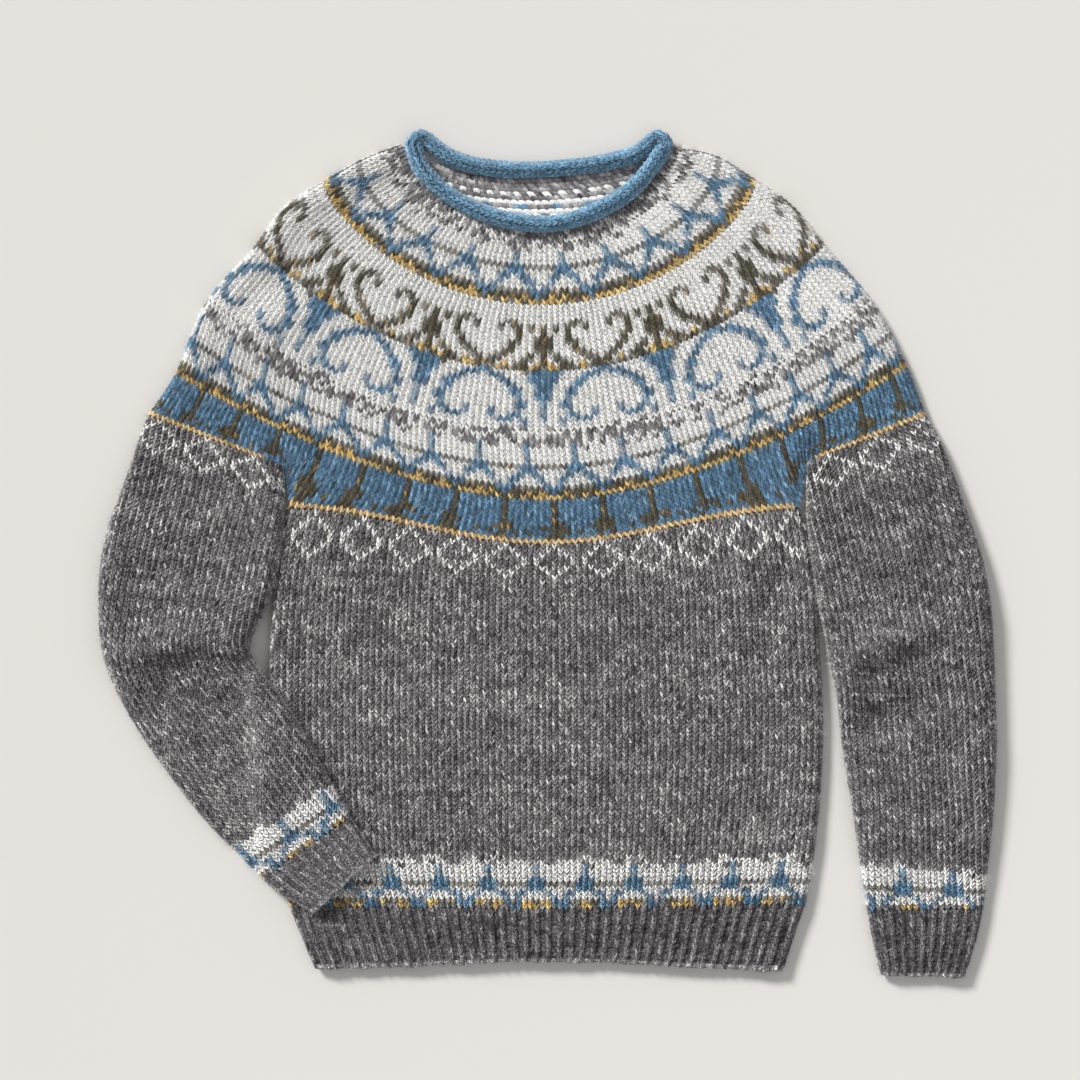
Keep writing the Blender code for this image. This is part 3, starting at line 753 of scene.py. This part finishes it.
def sheet_mesh(form, nu, nv, colour, f_lo, f_hi, v_lo, v_hi, push=0.0):
    """A plain grid on a form: vertices, quads, colours and knit coordinates."""
    f, v = np.meshgrid(np.linspace(f_lo, f_hi, nu + 1), np.linspace(v_lo, v_hi, nv + 1))
    pos, nrm = form.sample(f, v)
    pos = pos + nrm * push
    n = nu + 1
    a = (np.arange(nv)[:, None] * n + np.arange(nu)[None, :]).ravel()
    quads = np.stack([a, a + 1, a + n + 1, a + n], -1)
    cols = colour if np.ndim(colour) == 2 else np.broadcast_to(colour, (len(quads), 3))
    cols = np.repeat(np.asarray(cols)[:, None, :], 4, axis=1)
    coords = np.stack([f.ravel() * nu / 2, v.ravel(), 0 * v.ravel()], -1)
    return [pos.reshape(-1, 3), quads, cols, coords]


def join(parts):
    out = [[], [], [], []]
    base = 0
    for v, q, c, k in parts:
        out[0].append(v)
        out[1].append(q + base)
        out[2].append(c)
        out[3].append(k)
        base += len(v)
    return [np.concatenate(x) for x in out]


HANGERS = {}


def outward(data, form_up=True):
    """Turns quads so that most of a top surface faces up."""
    v, q, c, k = data
    a, b, d = v[q[:, 0]], v[q[:, 1]], v[q[:, 3]]
    n = np.cross(b - a, d - a)[:, 2].sum()
    if (n < 0) == form_up:
        q, c = q[:, ::-1], c[:, ::-1]
    return [v, q, c, k]


def make(name, data, material, node=None, under=None, split=0):
    """Builds the object and lets it ride on the one body."""
    v, q, c, k = data
    me = bpy.data.meshes.new(name)
    co = np.empty((len(v), 3), np.float32)
    co[:, 0], co[:, 1], co[:, 2] = v[:, 0] - CENTRE[0], v[:, 1] - CENTRE[1], np.maximum(v[:, 2], 0.05)
    co *= 0.001
    sides = q.shape[1]
    me.vertices.add(len(v))
    me.vertices.foreach_set("co", co.ravel())
    me.loops.add(len(q) * sides)
    me.loops.foreach_set("vertex_index", q.astype(np.int32).ravel())
    me.polygons.add(len(q))
    me.polygons.foreach_set("loop_start", np.arange(0, len(q) * sides, sides, dtype=np.int32))
    me.polygons.foreach_set("use_smooth", np.ones(len(q), bool))
    me.update(calc_edges=True)
    attr = me.color_attributes.new("yarn", "FLOAT_COLOR", "CORNER")
    rgba = np.ones((len(q) * sides, 4), np.float32)
    rgba[:, :3] = c.reshape(-1, 3)
    attr.data.foreach_set("color", rgba.ravel())
    kn = me.attributes.new("knit", "FLOAT_VECTOR", "POINT")
    kn.data.foreach_set("vector", k.astype(np.float32).ravel())
    ob = bpy.data.objects.new(name, me)
    bpy.context.scene.collection.objects.link(ob)
    me.materials.append(material)
    if under is not None:
        me.materials.append(under)
        me.polygons.foreach_set("material_index", (np.arange(len(q)) >= split).astype(np.int32))
    if node:
        HANGERS.setdefault(node, []).append(ob)
    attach(ob, "root")
    return ob


# ------------------------------------------------------------------ materials
def wool(name, stitch_bump=False, low=0.18, high=2.0, rough=0.93, sheen=0.30):
    """Wool: chart colour, fibre streaks and specks, a soft sheen and fine bump."""
    mat = bpy.data.materials.new(name)
    mat.use_nodes = True
    nt = mat.node_tree
    nodes, links = nt.nodes, nt.links
    bsdf = nodes["Principled BSDF"]
    col = nodes.new("ShaderNodeAttribute")
    col.attribute_name = "yarn"
    pos = nodes.new("ShaderNodeTexCoord")
    fine = nodes.new("ShaderNodeTexNoise")
    fine.inputs["Scale"].default_value = 720.0
    fine.inputs["Detail"].default_value = 4.0
    fine.inputs["Roughness"].default_value = 0.7
    links.new(pos.outputs["Object"], fine.inputs["Vector"])
    soft = nodes.new("ShaderNodeTexNoise")
    soft.inputs["Scale"].default_value = 260.0
    soft.inputs["Detail"].default_value = 3.0
    links.new(pos.outputs["Object"], soft.inputs["Vector"])
    ramp = nodes.new("ShaderNodeMapRange")
    ramp.inputs["From Min"].default_value = 0.39
    ramp.inputs["From Max"].default_value = 0.61
    ramp.inputs["To Min"].default_value = low
    ramp.inputs["To Max"].default_value = high
    links.new(fine.outputs["Fac"], ramp.inputs["Value"])
    ramp2 = nodes.new("ShaderNodeMapRange")
    ramp2.inputs["From Min"].default_value = 0.3
    ramp2.inputs["From Max"].default_value = 0.7
    ramp2.inputs["To Min"].default_value = 0.88
    ramp2.inputs["To Max"].default_value = 1.10
    links.new(soft.outputs["Fac"], ramp2.inputs["Value"])
    both = nodes.new("ShaderNodeMath")
    both.operation = "MULTIPLY"
    links.new(ramp.outputs["Result"], both.inputs[0])
    links.new(ramp2.outputs["Result"], both.inputs[1])
    # lighter and darker fibres running along each leg
    lie = nodes.new("ShaderNodeAttribute")
    lie.attribute_name = "knit"
    stretch = nodes.new("ShaderNodeVectorMath")
    stretch.operation = "MULTIPLY"
    stretch.inputs[1].default_value = (9.0, 1.7, 0.0)
    links.new(lie.outputs["Vector"], stretch.inputs[0])
    streak = nodes.new("ShaderNodeTexNoise")
    streak.inputs["Scale"].default_value = 1.0
    streak.inputs["Detail"].default_value = 2.0
    links.new(stretch.outputs["Vector"], streak.inputs["Vector"])
    ramp3 = nodes.new("ShaderNodeMapRange")
    ramp3.inputs["From Min"].default_value = 0.34
    ramp3.inputs["From Max"].default_value = 0.66
    ramp3.inputs["To Min"].default_value = 0.5 + 0.5 * low
    ramp3.inputs["To Max"].default_value = 0.5 + 0.5 * high
    links.new(streak.outputs["Fac"], ramp3.inputs["Value"])
    three = nodes.new("ShaderNodeMath")
    three.operation = "MULTIPLY"
    links.new(both.outputs["Value"], three.inputs[0])
    links.new(ramp3.outputs["Result"], three.inputs[1])
    scale = nodes.new("ShaderNodeVectorMath")
    scale.operation = "SCALE"
    links.new(col.outputs["Color"], scale.inputs[0])
    links.new(three.outputs["Value"], scale.inputs["Scale"])
    links.new(scale.outputs["Vector"], bsdf.inputs["Base Color"])
    height = fine.outputs["Fac"]
    # plies of the yarn, slanting along each leg
    knitv = nodes.new("ShaderNodeAttribute")
    knitv.attribute_name = "knit"
    wave = nodes.new("ShaderNodeTexWave")
    wave.wave_type = "BANDS"
    wave.bands_direction = "DIAGONAL"
    wave.inputs["Scale"].default_value = 1.6
    wave.inputs["Distortion"].default_value = 2.5
    wave.inputs["Detail"].default_value = 2.0
    links.new(knitv.outputs["Vector"], wave.inputs["Vector"])
    add = nodes.new("ShaderNodeMath")
    add.operation = "MULTIPLY_ADD"
    add.inputs[1].default_value = 0.5
    links.new(wave.outputs["Fac"], add.inputs[0])
    links.new(height, add.inputs[2])
    top = add.outputs["Value"]
    if stitch_bump:
        # V-shaped stitches for the side that lies on the surface
        sep = nodes.new("ShaderNodeSeparateXYZ")
        links.new(knitv.outputs["Vector"], sep.inputs["Vector"])
        tri = nodes.new("ShaderNodeMath")
        tri.operation = "PINGPONG"
        tri.inputs[1].default_value = 0.5
        links.new(sep.outputs["X"], tri.inputs[0])
        comb = nodes.new("ShaderNodeMath")
        comb.operation = "SUBTRACT"
        links.new(sep.outputs["Y"], comb.inputs[0])
        links.new(tri.outputs["Value"], comb.inputs[1])
        sine = nodes.new("ShaderNodeMath")
        sine.operation = "PINGPONG"
        sine.inputs[1].default_value = 0.5
        links.new(comb.outputs["Value"], sine.inputs[0])
        mul = nodes.new("ShaderNodeMath")
        mul.operation = "MULTIPLY_ADD"
        mul.inputs[1].default_value = 6.0
        links.new(sine.outputs["Value"], mul.inputs[0])
        links.new(top, mul.inputs[2])
        top = mul.outputs["Value"]
    bump = nodes.new("ShaderNodeBump")
    bump.inputs["Strength"].default_value = 0.55
    bump.inputs["Distance"].default_value = 0.0004
    links.new(top, bump.inputs["Height"])
    links.new(bump.outputs["Normal"], bsdf.inputs["Normal"])
    bsdf.inputs["Roughness"].default_value = rough
    bsdf.inputs["Specular IOR Level"].default_value = 0.18
    bsdf.inputs["Sheen Weight"].default_value = sheen
    bsdf.inputs["Sheen Roughness"].default_value = 0.45
    return mat


M_KNIT = wool("wool_heather")
M_RIB = wool("wool_rib")
M_YOKE = wool("wool_colourwork", low=0.74, high=1.28)
M_NECK = wool("wool_neckband", low=0.62, high=1.42)
M_BACK = wool("wool_underside", stitch_bump=True)
M_FUZZ = wool("wool_halo", low=0.9, high=1.1, rough=1.0, sheen=0.2)


# ------------------------------------------------------------------ the pieces
WALL = 2.6


def chart_rows(rows, count, letter, seed, dark=0.0):
    """Colours for each row, charted stitch by stitch from the middle."""
    out = []
    for r in range(rows):
        n = count(r)
        row = [letter(r, j - n // 2) for j in range(n)]
        out.append((n, row))
    wide = max(n for n, _ in out)
    code = [list(row) + ["H"] * (wide - n) for n, row in out]
    col = paint(code, seed, dark)
    return [n for n, _ in out], [col[r][:n] for r, (n, _) in enumerate(out)]


def back_grid(form, rows, nu, counts, cols):
    """The layer on the floor: its faces carry the chart's colours."""
    colour = np.empty((rows, nu, 3))
    for r in range(rows):
        idx = np.clip((np.arange(nu) + 0.5) / nu * counts[r], 0, counts[r] - 1).astype(int)
        colour[r] = cols[r][idx].mean(1)
    # the chart's colours a tenth darker: painted shade on the layer beneath
    return sheet_mesh(form, nu, rows, colour.reshape(-1, 3) * 0.9, -1.0, 1.0, 0.0, rows)


def tube_piece(node, form, under, rows, top, counts, cols, mat, nu, open_end=False, inside_shade=None):
    """Outer skin of a tube, its inner skin, and the rounded edge of an open end."""
    top = outward(top)
    low = outward(back_grid(under, rows, nu, counts, cols), False)
    make(node + "_knit", join([top, low]), mat, node, M_BACK, len(top[1]))
    # the inner skins get a darkened yarn colour: painted shade inside the tube
    inside_shade = H_MID * 0.7 if inside_shade is None else inside_shade
    inner = [outward(sheet_mesh(form, nu // 2, rows // 2, inside_shade, -1.0, 1.0, 0.0, rows, -WALL), False),
             outward(sheet_mesh(under, nu // 2, rows // 2, inside_shade, -1.0, 1.0, 0.0, rows, WALL))]
    if open_end:
        profile = ((-0.5, 0.3), (0.05, 0.35), (0.30, -0.1), (0.40, -0.9), (0.34, -1.8), (0.12, -2.4), (-0.6, -WALL))
        for skin, sign in ((form, 1.0), (under, -1.0)):
            n = counts[-1] * 4
            f = np.linspace(-1.0, 1.0, n + 1)
            u = (f + 1) / 2 * counts[-1]
            rib = np.cos(np.pi * (u - 0.5)) * 0.5 + 0.5          # a crest on every second column
            pos = []
            for k, (dv, h) in enumerate(profile):
                wave = 0.25 * noise2(u, u * 0, 61, 3.1, 1.0)
                p_, n_ = skin.sample(f, rows + (dv + wave * (dv > 0)))
                lift = h if sign > 0 else -h
                relief = (rib * 0.75 - 0.55) * (1.0 if k < 4 else 0.3)
                if sign < 0:
                    relief = -relief * 0.3
                pos.append(p_ + n_ * (lift + relief)[:, None])
            pos = np.stack(pos)
            m = len(f)
            a_ = (np.arange(len(profile) - 1)[:, None] * m + np.arange(m - 1)[None, :]).ravel()
            quads = np.stack([a_, a_ + 1, a_ + m + 1, a_ + m], -1)
            if sign < 0:
                quads = quads[:, ::-1]
            shade = heather((len(profile) - 1, m - 1), 640, 0.10)[:, :, 0].reshape(-1, 1, 3)
            kn = np.stack([np.broadcast_to(u, (len(profile), m)).ravel(),
                           np.repeat(np.arange(len(profile)) * 0.3, m), np.zeros(len(profile) * m)], -1)
            inner.append([pos.reshape(-1, 3), quads, np.repeat(shade, 4, axis=1), kn])
    make(node + "_inside", join(inner), mat, node)


def hairs(name, node, parts, seed):
    """A halo of fine fibres standing off the surface, each a thin curved ribbon."""
    rng = np.random.default_rng(seed)
    verts, cols, total = [], [], 0
    for form, n, f_lo, f_hi, v_lo, v_hi, reach, colour in parts:
        f = rng.uniform(f_lo, f_hi, n)
        v = rng.uniform(v_lo, v_hi, n)
        pos, nrm = form.sample(f, v)
        ang = rng.uniform(0, 2 * math.pi, n)
        length = reach * rng.uniform(0.45, 1.0, n)
        turn = rng.normal(0, 0.7, n)
        lift = rng.uniform(0.02, 0.35, n)
        d1 = np.stack([np.cos(ang), np.sin(ang), 0 * ang], -1)
        d2 = np.stack([np.cos(ang + turn), np.sin(ang + turn), 0 * ang], -1)
        side = nrm * np.array([1.0, 1.0, 0.0])
        away = np.maximum(0, 1 - np.abs(nrm[:, 2:3]) * 1.2)       # near a fold, fibres point outward
        d1 = d1 * (1 - 0.6 * away) + side * away
        d2 = d2 * (1 - 0.6 * away) + side * away
        p0 = pos + nrm * 0.55
        p1 = p0 + d1 * (length * 0.5)[:, None] + nrm * (0.35 + length * lift * 0.5)[:, None]
        p2 = p1 + d2 * (length * 0.5)[:, None] + nrm * (length * lift * 0.2 - 0.1)[:, None]
        w = rng.uniform(0.045, 0.08, n)[:, None]
        for p_, d_, k in ((p0, d1, 1.0), (p1, d1 + d2, 0.9), (p2, d2, 0.35)):
            s_ = np.stack([-d_[:, 1], d_[:, 0], 0 * ang], -1)
            s_ /= np.maximum(np.linalg.norm(s_, axis=1, keepdims=True), 1e-6)
            verts.append(p_ + s_ * w * k)
            verts.append(p_ - s_ * w * k)
        cols.append((n, colour(f, v, rng)))
        total += n
    allv, allc = [], []
    at_ = 0
    for n, c in cols:
        block = np.stack(verts[at_:at_ + 6], 1).reshape(-1, 3)    # n * 6
        at_ += 6
        allv.append(block)
        allc.append(c)
    v = np.concatenate(allv)
    c = np.concatenate(allc)
    b = np.arange(total)[:, None] * 6
    q = np.concatenate([b + np.array([[0, 1, 3, 2]]), b + np.array([[2, 3, 5, 4]])], 1).reshape(-1, 4)
    col = np.repeat(np.repeat(c, 2, axis=0)[:, None, :], 4, axis=1)
    kn = np.zeros((len(v), 3))
    return make(name, [v, q, col, kn], M_FUZZ, node)


def from_chart(counts, cols, pitch=None, arc=None, lighter=0.25):
    """Fibres take the colour of the stitch they grow from, a little paler."""
    def colour(f, v, rng):
        out = np.empty((len(f), 3))
        for i in range(len(f)):
            r = int(min(max(v[i], 0), len(counts) - 1))
            n = counts[r]
            if pitch is None:
                j = (f[i] + 1) / 2 * n
            else:
                j = f[i] * arc[r] / pitch + n / 2.0
            j = int(min(max(j, 0), n - 1))
            out[i] = cols[r][j, 0]
        k = rng.uniform(0.0, 0.5, (len(f), 1))
        return out * (1 - k) + (out * 0.3 + 0.55) * k
    return colour


# --- body
B_ROWS = 82
lines, thick, _ = body_lines(BODY, B_ROWS * 2 + 1)
form_body = Form("body", lines, thick, B_ROWS)
under_body = Form("body", lines, thick, B_ROWS, under=True, f_lo=-1.0, f_hi=1.0, nu=300)
HEM_SEQ = ("s0.30", "s0.60", 1, 2, 3, 4, 5, 6, 8, 9, 10, 11)


def edge_band(k, i, seq, foot):
    """Row i of the edge band: speckle rows, then rows of the peak band."""
    t = seq[i]
    if isinstance(t, str):
        return mix(k, i, 11, float(t[1:]))
    if t in (10, 11):
        a = abs(abs((k - foot + 4) % 8 - 4) - 4)
        if a >= 3:
            return mix(k, t, 12, 0.7, "B", "H")
        return mix(k, t, 14, 0.55, "O", "G") if t == 10 else mix(k, t, 16, 0.4, "G", "H")
    return small_band(k, t, foot)


def body_letter(r, k):
    if r < 8:
        return diamond(k, r)
    i = r - (B_ROWS - len(HEM_SEQ))
    if i >= 0:
        return edge_band(k, i, HEM_SEQ, 2)
    return "H"


counts, cols = chart_rows(B_ROWS, lambda r: 88, body_letter, 101)
top = knit(form_body, counts, cols, amp=1.45)
tube_piece("body", form_body, under_body, B_ROWS, top, counts, cols, M_KNIT, 88)
body_colour = from_chart(counts, cols)

# --- hem ribbing
H_ROWS = 12
lines, thick, _ = body_lines(HEM, H_ROWS * 2 + 1)
form_hem = Form("hem_rib", lines, thick, H_ROWS, puff=0.6)
under_hem = Form("hem_rib", lines, thick, H_ROWS, under=True, f_lo=-1.0, f_hi=1.0, nu=300)


def rib_kinds(r, c):
    return (c % 2) == 1


def rib_offset(is_p, ph):
    # purl columns sink between the knit ones
    return np.where(is_p, np.where(ph == 0, -0.65, -1.75), np.where(ph == 0, -0.45, 0.65))


hc = [88] * H_ROWS
# the hem rib's grey is darkened by 0.17: painted shade of its deep ribs
hcol = list(heather((H_ROWS, 88), 202, 0.17, 0.8))
top = knit(form_hem, hc, hcol, amp=1.05, kinds=rib_kinds, offset=rib_offset)
tube_piece("hem_rib", form_hem, under_hem, H_ROWS, top, hc, hcol, M_RIB, 88, open_end=True)
hem_colour = from_chart(hc, hcol)

# --- yoke
Y_ROWS = 73
lines = yoke_lines(Y_ROWS * 2 + 1)
yt = 11.0 + (9.0 - 11.0) * smooth((np.linspace(0, 73, Y_ROWS * 2 + 1) - 56) / 17)
form_yoke = Form("yoke", lines, yt, Y_ROWS, f_lo=-1.04, f_hi=1.04, nu=900)
back_lines = yoke_lines(Y_ROWS * 2 + 1, back=True)
under_yoke = Form("yoke", back_lines, yt, Y_ROWS, under=True, f_lo=-1.0, f_hi=1.0, nu=400)
counts, cols = chart_rows(Y_ROWS, yoke_count, yoke_letter, 303)


def yoke_bias(r):
    """Stitches are a little wider at the front's middle than at the folds."""
    return 0.08 if r < 26 else 0.05 if r < 56 else 0.09


top = knit(form_yoke, counts, cols, amp=1.4, down=-1.0, wrap=2, phases=(-0.06, 0.58, 1.18), bias=yoke_bias, hollow_shade=0.44)
# the yoke's inner skins are cream at half brightness: painted shade
tube_piece("yoke", form_yoke, under_yoke, Y_ROWS, top, counts, cols, M_YOKE, 130, inside_shade=CREAM * 0.5)
yoke_colour = from_chart(counts, cols)

# the inside of the back, seen through the neck: purl side, floats and all
IN_ROWS = 20
inside = Form("inside", back_lines[-(2 * IN_ROWS + 1):], yt[-(2 * IN_ROWS + 1):], IN_ROWS, under=True,
              f_lo=-1.0, f_hi=1.0, nu=400)
inside.grid[..., 2] += 4.1
inside.normal[:] = (0.0, 0.0, 1.0)


def inside_letter(n, k):
    """Rows counted down from the neckband."""
    if n <= 2 or n == 4:
        return "H"
    if n == 3:
        return "W" if k % 2 == 0 else "H"
    if n == 5:
        return mix(k, n, 51, 0.92)
    if n == 6:
        return mix(k, n, 52, 0.45, "B", "H")
    if n == 7:
        return "W"
    if n == 8:
        return "W" if k % 3 else "H"
    if n in (9, 10):
        return mix(k, n, 53, 0.6, "W", "B")
    return "W" if k % 4 else "H"


in_counts = [46] * IN_ROWS
code = [[inside_letter(IN_ROWS - 1 - r, j - 23) for j in range(46)] for r in range(IN_ROWS)]
in_cols = list(paint(code, 808, 0.0) * 1.04)
top = knit(inside, in_counts, in_cols, amp=1.15, down=-1.0, wrap=0, kinds=lambda r, c: c > -99, hollow_shade=0.6)
make("yoke_back_inside", outward(top), M_YOKE, "yoke")


# --- sleeves
CUFF_SEQ = ("s0.45", 1, 2, 3, 4, 5, 6, 8, 9, 11)


def sleeve_pieces(name, table, cuff, rows, cuff_rows, seed, foot, gem):
    lines, thick, on, total = sleeve_lines(table, rows * 2 + 1)
    form = Form(name, lines, thick, rows, on=on, puff=1.2, f_lo=-1.5, f_hi=1.5)
    under = Form(name, lines, thick, rows, on=on, under=True, f_lo=-1.0, f_hi=1.0, nu=160)
    arc = form.arcs(rows)

    def count(r):
        return 2 * int(math.ceil((arc[r] + 3.0) / STITCH))

    def letter(r, k):
        if r < 8:
            return diamond(k - gem + 1, r)
        i = r - (rows - len(CUFF_SEQ))
        if i >= 0:
            return edge_band(k, i, CUFF_SEQ, foot)
        return "H"

    # the straight sleeve's grey is made darker than the folded one's: painted shade
    counts, cols = chart_rows(rows, count, letter, seed, 0.05 if name == "sleeve_straight" else 0.02)
    top = knit(form, counts, cols, amp=1.45, pitch=STITCH, arc=arc)
    tube_piece(name, form, under, rows, top, counts, cols, M_KNIT, 28)
    colour = from_chart(counts, cols, STITCH, arc)
    cname = name.replace("sleeve", "cuff")
    lines, thick, on, _ = sleeve_lines(cuff, cuff_rows * 2 + 1)
    cform = Form(cname, lines, thick, cuff_rows, on=on, puff=0.6)
    cunder = Form(cname, lines, thick, cuff_rows, on=on, under=True, f_lo=-1.0, f_hi=1.0, nu=160)
    n = 22 if name == "sleeve_straight" else 20
    cc = [n] * cuff_rows
    # the straight cuff's grey is made much darker than the folded cuff's: painted shade
    ccol = list(heather((cuff_rows, n), seed + 50, 0.17 if name == "sleeve_straight" else 0.01, 0.8))
    top = knit(cform, cc, ccol, amp=1.05, kinds=rib_kinds, offset=rib_offset)
    tube_piece(cname, cform, cunder, cuff_rows, top, cc, ccol, M_RIB, n, open_end=True)
    return form, cform, colour, from_chart(cc, ccol), rows, cuff_rows


ss = sleeve_pieces("sleeve_straight", SLEEVE_STRAIGHT, CUFF_STRAIGHT, 108, 15, 404, 0, 1)
sf = sleeve_pieces("sleeve_folded", SLEEVE_FOLDED, CUFF_FOLDED, 104, 13, 505, 3, 6)


# --- neckband: rows of stitches along the roll
class RollForm(Form):
    def __init__(self, nv=361, nu=120):
        loop = np.concatenate([NECK[-1:], NECK, NECK[:2]])
        fine = refine(loop, 24)[24:24 * (len(NECK) + 1) + 1]
        run = along(fine[:, :2])
        self.length = run[-1]
        want = np.linspace(0, run[-1], nv)
        p = np.stack([np.interp(want, run, fine[:, k]) for k in range(4)], -1)
        way = np.gradient(p[:, :2], axis=0)
        way[0] = way[-1] = (p[1, :2] - p[-2, :2])
        way /= np.linalg.norm(way, axis=1, keepdims=True)
        self.f_lo, self.f_hi = -1.02, 1.02
        f = np.linspace(self.f_lo, self.f_hi, nu)
        ang = math.radians(90.0) - f * math.radians(168.0)      # over the top, slit below
        radius = p[:, 3] * (1.0 + 0.06 * noise2(want, want * 0, 9, 22.0, 1.0)) - 0.3
        out = np.stack([way[:, 1], -way[:, 0]], -1)
        self.grid = np.zeros((nv, nu, 3))
        c, s = np.cos(ang), np.sin(ang)
        self.grid[..., 0] = p[:, 0, None] + out[:, 0, None] * radius[:, None] * c
        self.grid[..., 1] = p[:, 1, None] + out[:, 1, None] * radius[:, None] * c
        self.grid[..., 2] = p[:, 2, None] + radius[:, None] * s
        self.v_hi = 1.0
        self.finish()


roll = RollForm()
R_ROWS = 104
roll.v_hi = float(R_ROWS)
rcol = [paint([["R"] * 7], 700 + r)[0] for r in range(R_ROWS)]
top = knit(roll, [7] * R_ROWS, rcol, amp=1.9, wrap=0, hollow_shade=0.66)
make("neck_roll_knit", outward(top), M_NECK, "neck_roll")
# a dark blue sheet just under the roll's stitches: painted shade seen between them
roll_shade_core = outward(sheet_mesh(roll, 16, 160, BLUE * 0.4, -1.0, 1.0, 0.0, R_ROWS, -1.6))
make("neck_roll_inside", roll_shade_core, M_NECK, "neck_roll")
roll_colour = from_chart([7] * R_ROWS, rcol)

# --- halo
K = 1.0


def some(n):
    return int(n * K)


hairs("body_halo", "body", [
    (form_body, some(8000), -1.0, 1.0, 0, B_ROWS, 5.0, body_colour),
    (form_body, some(700), 0.955, 1.06, 4, B_ROWS, 4.5, body_colour),
    (form_body, some(500), -1.06, -0.955, 4, B_ROWS, 4.5, body_colour)], 901)
hairs("yoke_halo", "yoke", [
    (form_yoke, some(7500), -1.0, 1.0, 0, Y_ROWS, 4.5, yoke_colour),
    (form_yoke, some(600), 0.95, 1.03, 0, Y_ROWS, 4.5, yoke_colour),
    (form_yoke, some(600), -1.03, -0.95, 0, Y_ROWS, 4.5, yoke_colour)], 902)
hairs("hem_halo", "hem_rib", [
    (form_hem, some(1100), -1.0, 1.0, 0, H_ROWS, 4.5, hem_colour),
    (form_hem, some(500), -1.0, 1.0, H_ROWS - 0.6, H_ROWS + 0.3, 7.5, hem_colour)], 903)
for tag, (form, cform, colour, ccolour, rows, crows), n in (("sleeve_straight", ss, 3200), ("sleeve_folded", sf, 3200)):
    hairs(tag + "_halo", tag, [
        (form, some(n), -1.0, 1.0, 0, rows, 5.0, colour),
        (form, some(500), 0.92, 1.1, 0, rows, 4.5, colour),
        (form, some(500), -1.1, -0.92, 0, rows, 4.5, colour)], 904 + len(tag))
    cuff = tag.replace("sleeve", "cuff")
    hairs(cuff + "_halo", cuff, [
        (cform, some(420), -1.05, 1.05, 0, crows, 4.5, ccolour),
        (cform, some(160), -1.0, 1.0, crows - 0.6, crows + 0.3, 6.0, ccolour)], 934 + len(tag))
hairs("neck_halo", "neck_roll", [
    (roll, some(1500), -0.75, 0.75, 0, R_ROWS, 3.6, roll_colour)], 950)

# ------------------------------------------------------------------ hidden frame, stage, light
for node, pieces in HANGERS.items():
    for piece in pieces:
        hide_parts(node)

floor_me = bpy.data.meshes.new("floor")
floor_me.from_pydata([(-6, -6, 0), (6, -6, 0), (6, 6, 0), (-6, 6, 0)], [], [(0, 1, 2, 3)])
floor = bpy.data.objects.new("floor", floor_me)
bpy.context.scene.collection.objects.link(floor)
fm = bpy.data.materials.new("pale_floor")
fm.use_nodes = True
fm.node_tree.nodes["Principled BSDF"].inputs["Base Color"].default_value = (0.60, 0.585, 0.56, 1)
fm.node_tree.nodes["Principled BSDF"].inputs["Roughness"].default_value = 0.85
floor_me.materials.append(fm)


def area(name, loc, size, power, colour=(1, 1, 1)):
    ld = bpy.data.lights.new(name, "AREA")
    ld.shape = "DISK"
    ld.size = size
    ld.energy = power
    ld.color = colour
    ob = bpy.data.objects.new(name, ld)
    ob.location = loc
    ob.rotation_euler = Vector([-v for v in loc]).to_track_quat("-Z", "Y").to_euler()
    bpy.context.scene.collection.objects.link(ob)


sun = bpy.data.lights.new("key", "SUN")
sun.energy = 4.3
sun.angle = 0.24
sun.color = (1.0, 0.985, 0.965)
key = bpy.data.objects.new("key", sun)
key.location = (-1.9, 2.05, 1.75)
key.rotation_euler = Vector((1.9, -2.05, -1.75)).to_track_quat("-Z", "Y").to_euler()
bpy.context.scene.collection.objects.link(key)
area("fill", (1.6, -1.2, 2.4), 2.5, 12.0, (0.95, 0.97, 1.0))
world = bpy.data.worlds.new("studio")
world.use_nodes = True
world.node_tree.nodes["Background"].inputs["Color"].default_value = (1.0, 1.0, 1.0, 1)
world.node_tree.nodes["Background"].inputs["Strength"].default_value = 0.50
bpy.context.scene.world = world
bpy.context.scene.view_settings.view_transform = "Standard"

HEIGHT, VIEW = 2.6, 0.929
cam = bpy.data.cameras.new("camera")
cam.sensor_width = 36.0
cam.lens = 36.0 * HEIGHT / VIEW
co = bpy.data.objects.new("camera", cam)
co.location = (-0.0056 - CENTRE[0] * 0.001, 0.0129 - CENTRE[1] * 0.001, HEIGHT)
bpy.context.scene.collection.objects.link(co)
bpy.context.scene.camera = co
